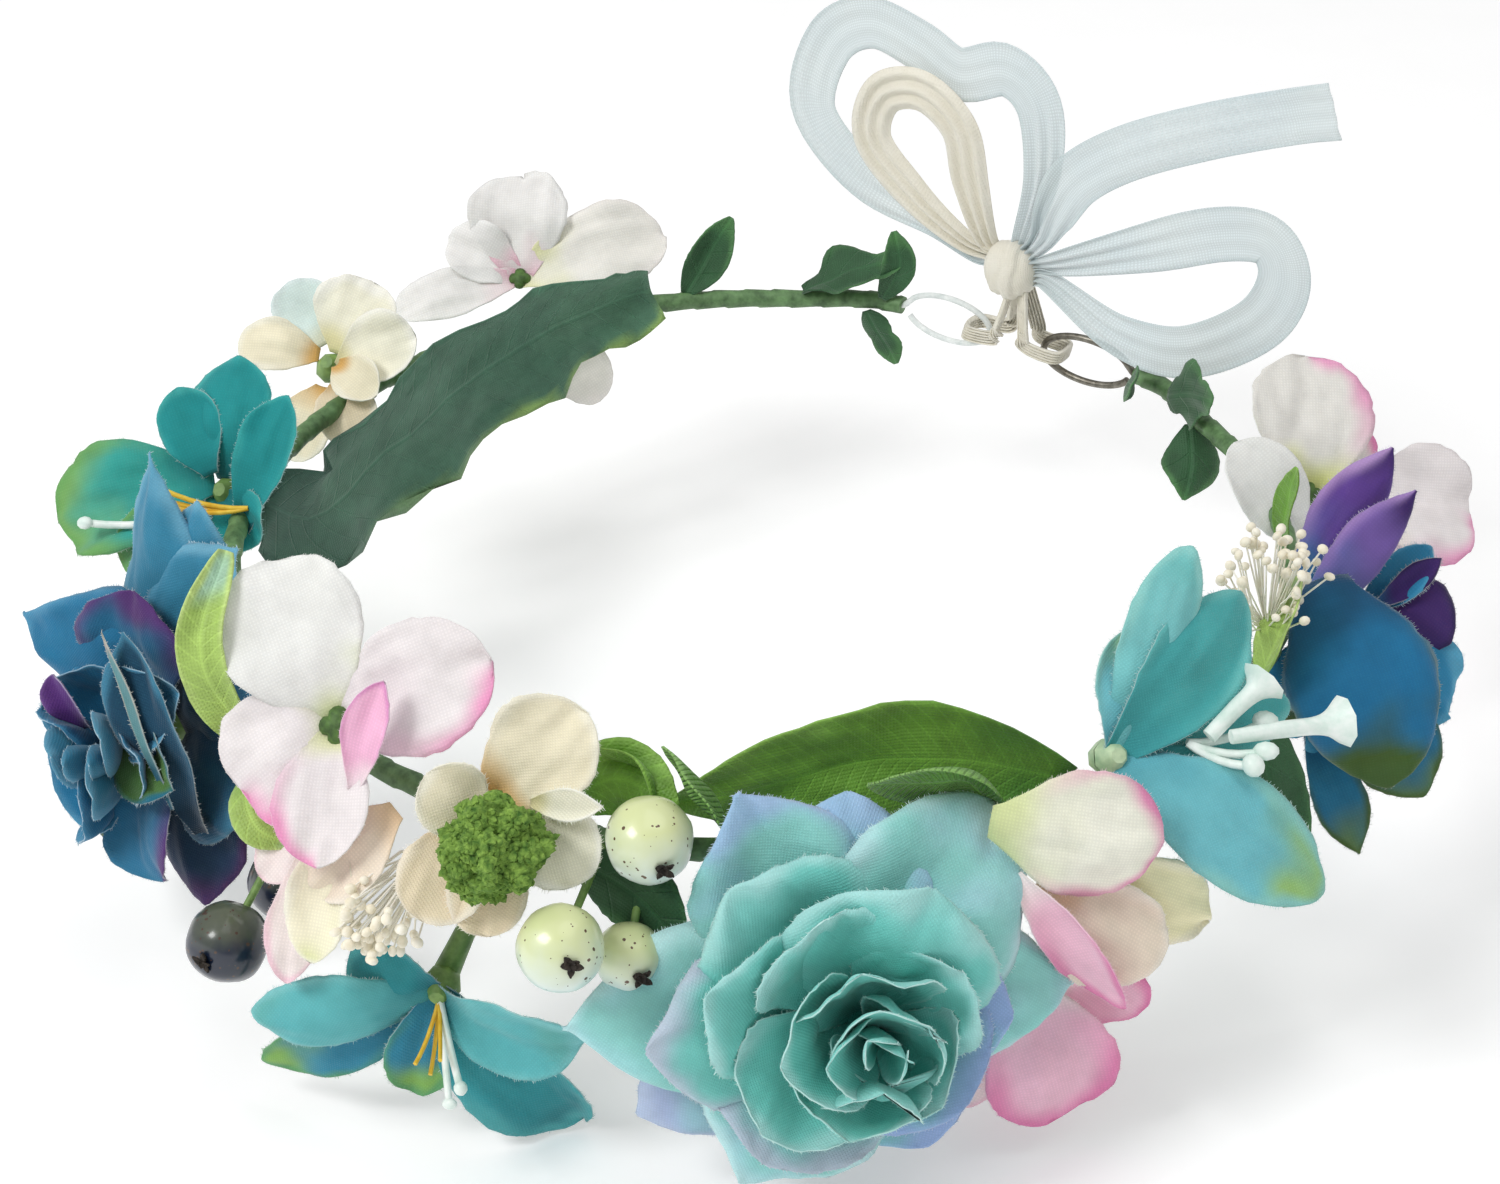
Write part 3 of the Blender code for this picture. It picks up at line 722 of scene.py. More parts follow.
def fray_tree():
    """Short loose threads along every open edge of a cloth, pointing away from it."""
    tree = Tree("Fray", {"Length": "Float", "Spacing": "Float", "Seed": "Int", "Material": "Material"})
    source = tree.inputs
    edges = tree.first("GeometryNodeInputMeshEdgeNeighbors")
    open_edge = tree.first("FunctionNodeCompare", {2: edges, 3: 1}, data_type="INT", operation="EQUAL")
    rim = tree.first("GeometryNodeMeshToCurve", {"Mesh": source["Geometry"], "Selection": open_edge})
    even = tree.first(
        "GeometryNodeResampleCurve", {"Curve": rim, "Length": source["Spacing"]}, mode="LENGTH"
    )
    away = tree.first("GeometryNodeInputNamedAttribute", {"Name": "outward"}, data_type="FLOAT_VECTOR")
    stray = tree.first(
        "FunctionNodeRandomValue", {0: (-0.5, -0.5, -0.5), 1: (0.5, 0.5, 0.5), "Seed": source["Seed"]},
        data_type="FLOAT_VECTOR",
    )
    aim = tree.first("ShaderNodeVectorMath", {0: away, 1: stray}, operation="ADD")
    turn = tree.first("FunctionNodeAlignRotationToVector", {"Vector": aim}, axis="Z")
    thread = tree.first(
        "GeometryNodeMeshCone",
        {"Vertices": 3, "Radius Top": 0.04, "Radius Bottom": 0.12, "Depth": 1.0},
    )
    long = tree.add("FunctionNodeRandomValue", {2: 0.15, 3: 1.0, "Seed": source["Seed"]}, data_type="FLOAT")
    size = tree.first("ShaderNodeMath", {0: long.outputs[1], 1: source["Length"]}, operation="MULTIPLY")
    threads = tree.first(
        "GeometryNodeInstanceOnPoints", {"Points": even, "Instance": thread, "Rotation": turn, "Scale": size}
    )
    return tree.close(threads, source["Material"])


def crumb_tree():
    """Soft crumbs scattered over a lumpy core, which stays under them."""
    tree = Tree("Crumbs", {"Size": "Float", "Density": "Float", "Seed": "Int", "Material": "Material"})
    source = tree.inputs
    spread = tree.add(
        "GeometryNodeDistributePointsOnFaces",
        {"Mesh": source["Geometry"], "Density": source["Density"], "Seed": source["Seed"]},
    )
    crumb = tree.first("GeometryNodeMeshIcoSphere", {"Radius": 1.0, "Subdivisions": 1})
    turn = tree.first(
        "FunctionNodeRandomValue", {0: (0, 0, 0), 1: (6.28, 6.28, 6.28), "Seed": source["Seed"]},
        data_type="FLOAT_VECTOR",
    )
    shape = tree.first(
        "FunctionNodeRandomValue", {0: (0.5, 0.5, 0.6), 1: (1.1, 1.1, 1.9), "Seed": source["Seed"]},
        data_type="FLOAT_VECTOR",
    )
    size = tree.first("ShaderNodeVectorMath", {0: shape, "Scale": source["Size"]}, operation="SCALE")
    crumbs = tree.first(
        "GeometryNodeInstanceOnPoints",
        {"Points": spread.outputs["Points"], "Instance": crumb, "Rotation": turn, "Scale": size},
    )
    real = tree.first("GeometryNodeRealizeInstances", {0: crumbs})
    both = tree.join(real, source["Geometry"])
    return tree.close(tree.first("GeometryNodeSetMaterial", {0: both, "Material": source["Material"]}))


def spray_tree():
    """Thin threads along a drawing of edges, with a bud at each point that is marked as an end."""
    tree = Tree("Spray", {"Thread": "Float", "Bud": "Float", "Seed": "Int", "Thread Material": "Material",
                          "Bud Material": "Material"})
    source = tree.inputs
    lines = tree.first("GeometryNodeMeshToCurve", {"Mesh": source["Geometry"]})
    section = tree.first("GeometryNodeCurvePrimitiveCircle", {"Resolution": 5, "Radius": source["Thread"]})
    threads = tree.first(
        "GeometryNodeCurveToMesh",
        {"Curve": lines, "Profile Curve": section, "Fill Caps": True},
    )
    threads = tree.first("GeometryNodeSetMaterial", {0: threads, "Material": source["Thread Material"]})
    ends = tree.first("GeometryNodeInputNamedAttribute", {"Name": "end"}, data_type="BOOLEAN")
    bud = tree.first("GeometryNodeMeshIcoSphere", {"Radius": 1.0, "Subdivisions": 2})
    shape = tree.first(
        "FunctionNodeRandomValue", {0: (0.75, 0.75, 0.9), 1: (1.1, 1.1, 1.35), "Seed": source["Seed"]},
        data_type="FLOAT_VECTOR",
    )
    size = tree.first("ShaderNodeVectorMath", {0: shape, "Scale": source["Bud"]}, operation="SCALE")
    turn = tree.first(
        "FunctionNodeRandomValue", {0: (0, 0, 0), 1: (6.28, 6.28, 6.28), "Seed": source["Seed"]},
        data_type="FLOAT_VECTOR",
    )
    buds = tree.first(
        "GeometryNodeInstanceOnPoints",
        {"Points": source["Geometry"], "Selection": ends, "Instance": bud, "Rotation": turn, "Scale": size},
    )
    buds = tree.first("GeometryNodeRealizeInstances", {0: buds})
    buds = tree.first("GeometryNodeSetMaterial", {0: buds, "Material": source["Bud Material"]})
    return tree.close(tree.first("GeometryNodeSetShadeSmooth", {0: tree.join(buds, threads)}))


def shared_tree(name, maker):
    return bpy.data.node_groups.get(name) or maker()


# ---------------------------------------------------------------- flowers

# seat is by the ring, axis the way the flower faces in the front frame, heart where its petals meet, in mm.
Flower = namedtuple("Flower", "seat axis heart")


def spot(flower, x, y, h):
    """The point at x, y of the front frame that is h mm above the flower's seat along its own axis."""
    ax, ay, az = flower.axis
    z = (h - ax * x - ay * y) / az
    return flower.seat + turned_to_front(x * MM, y * MM, z * MM)


def petal(cloth, flower, tip, width, colours, root=None, lift=0.0, curl=0.0, **more):
    """A petal from the flower's heart to its tip, both as x, y and height in mm.

    lift arches its middle the way the flower faces, and curl bends its end back, as shares of its length.
    """
    start, end = spot(flower, *(root or flower.heart)), spot(flower, *tip)
    axis = turned_to_front(*flower.axis)
    chord = end - start
    length = chord.length
    normal = (axis - chord * (axis.dot(chord) / length ** 2)).normalized()

    def line(u):
        back = max(0.0, (u - 0.55) / 0.45) ** 2
        return start + chord * u + normal * length * (lift * 4 * u * (1 - u) - curl * back)

    more.setdefault("face", axis)
    more.setdefault("seed", round(tip[0] * 31 + tip[1] * 7 + width))
    lay(cloth, line, width * MM, colours, **more)


def petals(flower, rows, **shared):
    """Cloth for a whorl. A row holds a petal's tip, width and dye, then the options that are its own."""
    cloth = Cloth()
    for tip, width, colours, *own in rows:
        petal(cloth, flower, tip, width, colours, **{**shared, **dict(*own)})
    return cloth


def rosette(cloth, flower, centre, reach, height, count, width, colours, first=0.0, seed=1, **more):
    """A ring of like petals, standing round a centre and each a little different."""
    dice = random.Random(seed)
    for index in range(count):
        clock = math.radians(first + 360 * (index + dice.uniform(-0.15, 0.15)) / count)
        out = reach * dice.uniform(0.92, 1.08)
        way = Vector((math.sin(clock), math.cos(clock)))
        tip = (centre[0] + way.x * out, centre[1] + way.y * out, height * dice.uniform(0.94, 1.04))
        root = (centre[0] + way.x * reach * 0.3, centre[1] + way.y * reach * 0.3, height * 0.12)
        petal(cloth, flower, tip, width * dice.uniform(0.93, 1.07), colours, root=root,
              seed=seed * 17 + index, **more)


def whorl(name, cloth, slot, nodes, soft=False, fray=0.6):
    """Sews the petals on a cloth into one piece, with a second piece of loose threads along its edges."""
    if fray:
        threads = put_in_scene(bpy.data.objects.new(name + "_threads", cloth_mesh(name + "_threads", cloth)))
        grow(threads, shared_tree("Fray", fray_tree), {
            "Length": fray * MM, "Spacing": THREAD_SPACING, "Seed": len(name), "Material": finish("thread"),
        })
        ride(threads, "crown", slot)
    finishes = ("soft petal", "soft petal back", "edge") if soft else ("petal", "petal back", "edge")
    ride(sew(name, cloth, finishes), "crown", slot, *nodes)


def stalk(name, points, radii, short, slot, body="crown", nodes=(), sides=10, steps=24):
    """A round, closed stem through the points, whose radius goes smoothly through the radii in metres."""
    curve = bpy.data.curves.new(name, "CURVE")
    curve.dimensions = "3D"
    curve.bevel_depth = 1.0
    curve.bevel_resolution = max(1, sides // 4)
    curve.use_fill_caps = True
    spline = curve.splines.new("POLY")
    spline.points.add(steps)
    widths = [Vector((radius, 0, 0)) for radius in radii]
    for index, target in enumerate(spline.points):
        target.co = (*catmull_rom(points, index / steps), 1)
        target.radius = catmull_rom(widths, index / steps).x
    obj = put_in_scene(bpy.data.objects.new(name, curve))
    curve.materials.append(finish(short))
    made = settle_curve(obj)
    made.data.shade_smooth()
    return ride(made, body, slot, *nodes)


def settle_curve(obj):
    """A mesh object in place of a curve object, under the same name."""
    name, old = obj.name, obj.data
    graph = bpy.context.evaluated_depsgraph_get()
    mesh = bpy.data.meshes.new_from_object(obj.evaluated_get(graph))
    bpy.data.objects.remove(obj)
    bpy.data.curves.remove(old)
    mesh.name = name
    return put_in_scene(bpy.data.objects.new(name, mesh))


def calyx(name, flower, angle, sepals, nodes, pale=False):
    """The moulded cup under a flower, on its stem from the tape, with sepals against the petals' backs."""
    root = on_ring(angle, 0, 0)
    axis = turned_to_front(*flower.axis)
    heart = spot(flower, *flower.heart)
    points = [root, root.lerp(heart, 0.35), heart - axis * 0.0035, heart - axis * 0.001, heart + axis * 0.002]
    radii = [0.0011, 0.0012, 0.0021, 0.0030, 0.0012]
    stalk(name, points, radii, "pale calyx" if pale else "calyx", "leaf", nodes=nodes)
    if not sepals:
        return
    cloth = Cloth()
    green = dye("#5F8444", root="#7FA25A", tip="#486A34")
    for index in range(sepals):
        clock = 2 * math.pi * index / sepals + 0.4
        x, y, h = flower.heart
        tip = (x + 11 * math.sin(clock), y + 11 * math.cos(clock), h - 0.5)
        petal(cloth, flower, tip, 4.2, green, root=(x, y, h - 2.5), lift=-0.08, point=1.0, cup=0.4,
              widest=0.35)
    ride(sew(name + "_sepals", cloth, ("dark leaf",), LEAF_THICKNESS), "crown", "leaf")


TURQUOISE_ROSE = Flower(on_ring(310, 0.008, -0.013), (0.12, -0.20, 0.97), (4, -6, 0))
LEFT_BLUE_ROSE = Flower(on_ring(240, 0.010, -0.011), (-0.60, -0.15, 0.785), (-6, 0, 0))
RIGHT_BLUE_ROSE = Flower(on_ring(15, 0.009, -0.005), (0.0, 0.0, 1.0), (-4, 4, -2))
RIGHT_BLUE_HEART = Flower(on_ring(15, 0.009, -0.005), (0.60, 0.10, 0.79), (4, -2, 0))
FRONT_LILY = Flower(on_ring(277.5, 0.013, -0.021), (-0.15, -0.55, 0.82), (-1, -3, 0))
REAR_LILY = Flower(on_ring(207, 0.009, 0.004), (-0.35, 0.15, 0.92), (5, -3, 0))
RIGHT_LILY = Flower(on_ring(345, 0.010, 0.006), (0.30, 0.15, 0.94), (-13, 1, 0))
PINK_FLORET = Flower(on_ring(265.5, 0.011, 0.013), (-0.25, 0.10, 0.96), (2, 1, 0))
REAR_WHITE_FLORET = Flower(on_ring(151, 0.009, 0.006), (-0.10, 0.30, 0.95), (-3, -1, 0))
RIGHT_WHITE_FLORET = Flower(on_ring(45, 0.009, 0.004), (0.25, 0.30, 0.92), (-1, -6, 0))
LOW_PINK_FLORET = Flower(on_ring(332.5, 0.012, -0.019), (0.20, -0.35, 0.91), (-6, 6, 0))
CREAM_FLOWER = Flower(on_ring(283, 0.010, 0.005), (-0.10, 0.10, 0.99), (-1, 0, 0))
REAR_CREAM_FLOWER = Flower(on_ring(178, 0.008, 0.006), (-0.15, 0.30, 0.94), (-2, -4, 0))


def make_turquoise_rose(colours):
    flower = TURQUOISE_ROSE
    mint = tuple(colours.turquoise)
    open_dye = dye(mint, root="#45A59C", rim="#B9E2E4", under="#A3D3DE", tip="#A4D6DE")
    left_folded = dye(mint, root="#48A79E", rim="#A6C6EA", tip="#9FC4E6", under="#A6C8EA", rim_start=0.5,
                      side=1)
    lavender = dye("#84CBCB", root="#4CA8A2", rim="#93AEDC", tip="#9BB8E2", under="#9DB6E0", rim_start=0.5)
    grey = dye("#8FB9C6", root="#69A5AB", rim="#AFBEDA", tip="#A3B2D4", under="#A3B2D0")
    greyed_rim = dye("#79CDC4", root="#3F9C94", rim="#B9C6D6", tip="#B4C4D6", under="#A9C6D4", rim_start=0.62)
    inner_dye = dye("#74CFC5", root="#2F8C85", rim="#A9E0DC", under="#8AD2CC", tip="#8FD8D2")
    bud_dye = dye("#6CCABF", root="#2A827B", rim="#A6E0DA", under="#74C9BF")
    cloth = petals(flower, [
        ((-27, -25, 0), 22, grey, dict(point=0.5, roll=(0.5, 0.4), cup=0.2, lift=0.05, curl=0.1)),
        ((37, -5, 2), 25, open_dye, dict(point=1.0, roll=(0.6, 0.7), lift=0.10, curl=0.04)),
        ((-12, -34, 4), 31, open_dye, dict(point=0.8, roll=(0.6, 0.6), cup=0.15, lift=0.08, curl=0.03)),
        ((15, -29, 4), 29, lavender, dict(point=0.25, roll=(0.3, 0.9), cup=0.15, lift=0.08, curl=0.1)),
        ((-37.5, -10, 3), 30, open_dye, dict(point=1.0, roll=(1.1, 0.5), lift=0.10, curl=0.02)),
        ((-13, 25, 7), 30, left_folded, dict(point=1.0, roll=(0.3, 1.0), lift=0.06, curl=-0.02)),
        ((4, 21, 7), 28, left_folded, dict(point=0.1, roll=(0.2, 0.7), lift=0.12, curl=0.22)),
        ((23.5, 15.5, 12), 33, open_dye, dict(root=(3, -8, 0), point=0.1, roll=(0.3, 0.6), lift=0.05,
                                              curl=0.42, widest=0.66)),
    ], cup=0.1)
    whorl("turquoise_rose_open_petals", cloth, "turquoise", ["turquoise_rose_outer_petals"])
    cloth = petals(flower, [
        ((-23, -13, 15), 26, greyed_rim, dict(lift=-0.04, curl=0.12, roll=(0.6, 0.6))),
        ((-11, 9, 17), 31, inner_dye, dict(lift=-0.05, curl=0.16, roll=(0.8, 0.7))),
        ((14, 8, 19), 34, inner_dye, dict(root=(4, -9, 2), lift=0.02, curl=0.18, roll=(0.4, 0.7),
                                          point=0.35)),
        ((26, -9, 11), 25, lavender, dict(lift=-0.05, curl=0.14, roll=(0.6, 0.7))),
        ((20, -21, 12), 26, lavender, dict(lift=-0.10, curl=0.10, cup=0.4, roll=(0.3, 0.5), point=0.2)),
        ((-8, -29, 12), 29, greyed_rim, dict(lift=-0.12, curl=0.08, cup=0.45, roll=(0.4, 0.4), point=0.3)),
    ], cup=0.3, point=0.5)
    whorl("turquoise_rose_bowl_petals", cloth, "turquoise", ["turquoise_rose_middle_petals"])
    cloth = petals(flower, [
        ((-9, -24, 15), 25, inner_dye, dict(root=(3, -8, 3), lift=-0.12, curl=0.06, cup=0.6, point=0.3)),
        ((-15, -5, 18), 24, inner_dye, dict(root=(1, -8, 3), curl=0.14, cup=0.5, point=0.4,
                                            roll=(0.5, 0.5))),
        ((1, 5, 19), 27, inner_dye, dict(root=(4, -7, 3), curl=0.12, cup=0.5, point=0.2, roll=(0.4, 0.6))),
        ((18, -2, 18), 24, inner_dye, dict(root=(6, -8, 3), curl=0.12, cup=0.55, point=0.5,
                                           roll=(0.4, 0.5))),
        ((16, -20, 15), 25, inner_dye, dict(root=(6, -10, 3), lift=-0.14, curl=0.04, cup=0.7, point=0.1)),
        ((3, -25, 17), 24, bud_dye, dict(root=(5, -10, 4), lift=-0.14, curl=0.04, cup=0.75, point=0.1)),
    ], lift=-0.10)
    whorl("turquoise_rose_cup_petals", cloth, "turquoise", ["turquoise_rose_inner_petals"])
    cloth = petals(flower, [
        ((-5, -13, 20), 23, bud_dye, dict(root=(6, -7, 4), lift=-0.10, curl=0.10, cup=0.7, point=0.3)),
        ((5, 0, 21.5), 24, bud_dye, dict(root=(6, -8, 4), lift=-0.08, curl=0.02, cup=0.6)),
        ((15, -9, 20.5), 20, bud_dye, dict(root=(7, -10, 4), lift=-0.12, cup=0.85, point=0.2)),
        ((8, -18, 20), 20, bud_dye, dict(root=(7, -11, 4), lift=-0.14, cup=0.9)),
        ((0, -13, 22), 15, bud_dye, dict(root=(7, -10, 6), lift=-0.02, cup=0.9, crumple=0.5)),
        ((7, -4.5, 22.5), 17, bud_dye, dict(root=(7, -10, 6), lift=0.02, cup=0.7, crumple=0.5)),
        ((11, -12, 22), 12, bud_dye, dict(root=(7, -10, 6), lift=-0.04, cup=1.2, crumple=0.4)),
        ((5.5, -9, 23.5), 9, bud_dye, dict(root=(7.5, -11, 9), cup=1.3, crumple=0.3)),
    ], point=0.1)
    whorl("turquoise_rose_rolled_bud", cloth, "turquoise", ["turquoise_rose_bud"], fray=0.5)
    calyx("turquoise_rose_cup", flower, 306, 5, ["turquoise_rose_calyx"])


def make_left_blue_rose():
    flower = LEFT_BLUE_ROSE
    light = dye("#33809F", root="#174F70", rim="#6AA6C0", tip="#3F8AAA", under="#2B7896")
    blue = dye("#1F7098", root="#123F5A", rim="#4E93B5", under="#1C668C")
    purple_rim = dye("#1F6A90", root="#123F5A", rim="#53306E", tip="#4B2F66", under="#4A2E6E", rim_start=0.6)
    green_tip = dye("#1D6284", root="#12405A", rim="#3F5B34", tip="#4F7238", under="#2D5C52")
    dark = dye("#17455F", root="#0C2A3D", rim="#3E7D99", under="#143C54")
    navy = dye("#1A3352", root="#0E2236", rim="#432B5B", tip="#3A2A54", under="#1A2F4A")
    pale_strip = dye("#5E8E93", root="#24566A", rim="#A9A89C", tip="#B79F9A", under="#4F7F88")
    purple_left = dye("#2A6F93", root="#123F5A", rim="#53306E", tip="#2F7699", under="#1C5F80", rim_start=0.4,
                      side=-1)
    plum = dye("#5B2F7C", root="#2A2A55", rim="#6A4489", under="#4A2A6A")
    leafy = dye("#3D6230", root="#24502F", rim="#1F6A80", tip="#4A7238", under="#35603A", rim_start=0.8)
    cloth = petals(flower, [
        ((8, 29, -1), 22, light, dict(root=(-6, 9, -1), point=0.9, cup=0.2, roll=(0.5, 0.2))),
        ((1, 36.5, -3), 19, light, dict(root=(-4, 9, -1), point=0.6, cup=-0.2, lift=0.04, roll=(0.3, 0.3))),
        ((-8.5, 44.5, -2), 25, light, dict(root=(-4, 9, 0), point=1.0, cup=-0.4, lift=0.06, widest=0.3,
                                           roll=(0.1, 0.4))),
        ((-32.5, 18, 4), 26, blue, dict(root=(-4, 7, 1), point=1.0, roll=(0.7, 0.9), lift=0.10,
                                        widest=0.4)),
        ((-27, 1, 7), 25, blue, dict(point=0.3, roll=(0.3, 0.5), curl=0.12)),
        ((-21, -19, 5), 24, green_tip, dict(point=0.3, roll=(0.4, 0.4), curl=0.12)),
        ((2, -28, 3), 24, navy, dict(root=(-4, -4, 0), point=0.5, roll=(0.4, 0.4), lift=0.06)),
        ((9, -14, 5), 26, dark, dict(root=(-2, 0, 0), point=0.5, roll=(0.4, 0.4))),
        ((9, 10, 3), 26, dark, dict(root=(-3, 0, 0), point=0.3, roll=(0.4, 0.4))),
    ], lift=0.08)
    whorl("left_blue_rose_open_petals", cloth, "blue", ["left_blue_rose_outer_petals"])
    cloth = petals(flower, [
        ((-13, 20, 10), 25, purple_rim, dict(root=(-9, 3, 2), lift=-0.08, curl=0.20, cup=0.4,
                                             roll=(.4, .5))),
        ((-9, 16, 15), 13, dark, dict(root=(2, -16, 7), lift=0.05, cup=0.35, point=0.8, roll=(0.1, 0.2))),
        ((-12, 16, 18.5), 2.6, pale_strip, dict(root=(-2, -12, 12), cup=0.4, point=0.9, crumple=0.4)),
        ((-8, -25, 11), 19, purple_left, dict(root=(-8, -6, 4), lift=0.08, curl=0.1, cup=0.25, point=0.3)),
        ((-25, -11, 12), 20, blue, dict(root=(-12, -5, 4), lift=-0.10, curl=0.12, cup=0.4)),
        ((-24, 7, 14), 18, blue, dict(root=(-13, 0, 4), lift=-0.10, curl=0.12, cup=0.4)),
        ((-22.5, 8.5, 17), 9, plum, dict(root=(-18, 0, 10), lift=0.02, cup=0.5, point=0.3)),
        ((-3, -9, 15), 15, leafy, dict(root=(-12, 2, 8), lift=0.05, curl=0.05, cup=0.3, point=0.7)),
        ((-5, 5, 17), 17, blue, dict(root=(-14, 1, 6), lift=-0.05, curl=0.2, cup=0.5, point=0.2)),
    ])
    heart = (-16.5, -5)
    rosette(cloth, flower, heart, 9, 17.5, 3, 17, blue, first=200, seed=13, lift=-0.12, cup=0.7, curl=0.05)
    whorl("left_blue_rose_cup_petals", cloth, "blue", ["left_blue_rose_inner_petals"])
    cloth = Cloth()
    rosette(cloth, flower, heart, 5.5, 20, 3, 13, light, first=170, seed=14, lift=-0.12, cup=0.9, point=0.1,
            crumple=0.5)
    rosette(cloth, flower, heart, 2.6, 21, 2, 9, light, first=60, seed=15, lift=-0.08, cup=1.3, crumple=0.4)
    whorl("left_blue_rose_rolled_bud", cloth, "blue", ["left_blue_rose_bud"], fray=0.5)
    calyx("left_blue_rose_cup", flower, 240, 5, ["left_blue_rose_calyx"])


def make_right_blue_rose():
    flower = RIGHT_BLUE_ROSE
    # The lavender rim colour over this petal's left half, from its middle out, is a painted highlight, not
    # dye
    violet_with_painted_highlight = dye("#5A3B90", root="#1F6F9A", rim="#A98ABF", tip="#3C2668", under="#3F2C72", root_end=0.62,
                 rim_start=0.5, side=-1)
    lilac = dye("#6F579F", root="#2478A2", rim="#9A7DB8", tip="#35215F", under="#3A2868", root_end=0.7,
                rim_start=0.5, side=-1)
    blue = dye("#1C6C98", root="#14486B", rim="#2F86AE", tip="#3F5A22", under="#1A5F88", tip_start=0.62)
    bright = dye("#2C83AC", root="#1A587E", rim="#55A2C2", under="#24769E")
    plum = dye("#3C2565", root="#1F5F88", rim="#2A1B4C", under="#34215A")
    low = dye("#1F6F96", root="#174F70", rim="#41602F", tip="#5A7A36", under="#2A6478", tip_start=0.6)
    cloth = petals(flower, [
        ((9.5, 35, 1), 14, violet_with_painted_highlight, dict(root=(-7, 7, -1), cup=-0.6, lift=0.05, point=0.7, roll=(0, 0.4))),
        ((12.5, 28, 5), 11, lilac, dict(root=(-7, 5, 4), cup=-0.7, lift=0.05, point=0.8, roll=(0, 0.3))),
        ((7, -20, 12), 31, blue._replace(rim=low.rim), dict(root=(-3, 14, 8), cup=-0.3, lift=0.18,
                                                            point=0.3, roll=(0.6, 0.9))),
        ((17, 19, -3), 8, bright, dict(root=(5, 8, -3), cup=0.4, point=0.4)),
        ((18, 17, -1), 5, plum, dict(root=(7, 9, -1), cup=0.5, point=0.6)),
        ((20, 3, -5), 15, plum, dict(root=(7, 12, -4), cup=-0.3, lift=0.1, point=0.3)),
        ((20.5, -9, -6), 19, bright, dict(root=(6, 5, -4), cup=-0.3, lift=0.1, ruffle=0.0008, waves=3)),
        ((15, -21.5, -2), 16, low, dict(root=(5, -4, -2), cup=-0.3, lift=0.1, point=0.3)),
        ((3, -17, 1), 12, bright, dict(root=(-2, -6, 0), cup=0.2, lift=0.05, point=0.5)),
        ((4, -31, 2), 9, low, dict(root=(-4, -11, 1), cup=0.3, lift=0.05, point=0.8)),
        ((-8, -12, 0), 14, blue, dict(root=(-4, 4, 0), cup=0.2, lift=0.1, point=0.3)),
    ])
    whorl("right_blue_rose_open_petals", cloth, "blue", ["right_blue_rose_outer_petals"], soft=True)
    flower = RIGHT_BLUE_HEART
    cloth = Cloth()
    heart = (10, -3)
    rosette(cloth, flower, heart, 12, 1, 5, 18, blue, first=0, seed=21, lift=-0.05, cup=0.35, curl=0.15)
    rosette(cloth, flower, heart, 8, 4, 4, 14, bright, first=40, seed=22, lift=-0.12, cup=0.6, curl=0.08)
    whorl("right_blue_rose_cup_petals", cloth, "blue", ["right_blue_rose_inner_petals"], soft=True)
    cloth = Cloth()
    rosette(cloth, flower, heart, 4.5, 6, 3, 11, bright, first=10, seed=23, lift=-0.1, cup=1.0)
    whorl("right_blue_rose_rolled_bud", cloth, "blue", ["right_blue_rose_bud"], soft=True, fray=0.6)
    calyx("right_blue_rose_cup", flower, 16, 5, ["right_blue_rose_calyx"])


def stamens(name, flower, ends, root, radius, short, knob=0.0):
    """Threads from the flower's heart to these ends, in mm, with a knob on each."""
    mesh = bpy.data.meshes.new(name)
    start = spot(flower, *root)
    points, edges, marks = [], [], []
    for end in ends:
        tip = spot(flower, *end)
        first = len(points)
        for step in range(7):
            t = step / 6
            sag = Vector((0, 0, -0.0012)) * 4 * t * (1 - t)
            points.append(start.lerp(tip, t) + sag)
            marks.append(step == 6 and knob > 0)
            if step:
                edges.append((first + step - 1, first + step))
    mesh.from_pydata(points, edges, [])
    mesh.attributes.new("end", "BOOLEAN", "POINT").data.foreach_set("value", marks)
    obj = put_in_scene(bpy.data.objects.new(name, mesh))
    grow(obj, shared_tree("Spray", spray_tree), {
        "Thread": radius, "Bud": knob, "Seed": 3,
        "Thread Material": finish(short), "Bud Material": finish(short),
    })
    return ride(obj, "crown", "cream_buds")


def make_front_lily():
    teal = dye("#5DB3B7", root="#3C8C94", rim="#7CC4C5", tip="#66B4B0", under="#4FA5AB")
    deep = dye("#2F8F97", root="#1F6A78", rim="#4EA6AA", tip="#2E7E86", under="#2A8088")
    blue_green = dye("#3186A3", root="#2E7C90", rim="#5C9A66", tip="#7FAE58", under="#3A8C84", tip_start=0.55)
    flower = FRONT_LILY
    cloth = petals(flower, [
        ((-29, -6, 6), 13, teal, dict(cup=-0.3, lift=0.12, point=0.3, twist=0.3)),
        ((-14, 3, 2), 12, deep, dict(cup=0.3, lift=0.08, point=0.3)),
        ((20, -11, 8), 15, teal, dict(cup=0.45, lift=0.14, curl=0.1, point=0.2)),
        ((19, -25, 2), 18, deep, dict(cup=0.35, lift=0.10, curl=0.1, point=0.15, ruffle=0.0006)),
        ((-30, -16, -1), 11, blue_green, dict(cup=0.3, lift=0.1, point=0.4)),
        ((-5, -19, 4), 12, blue_green, dict(cup=0.4, lift=0.08, point=0.2)),
    ])
    whorl("front_lily_six_petals", cloth, "teal", ["front_lily_petals"])
    stamens("front_lily_yellow_stamens", flower, [(-4, -13, 11), (-2, -15, 10), (0, -12, 12)], (-1, -4, 1),
            0.00035, "yellow filament")
    stamens("front_lily_white_stamens", flower, [(1, -19, 13), (3, -16, 14)], (-1, -4, 1), 0.0006,
            "white stamen", 0.0010)
    calyx("front_lily_cup", flower, 281, 0, ["front_lily_core"])


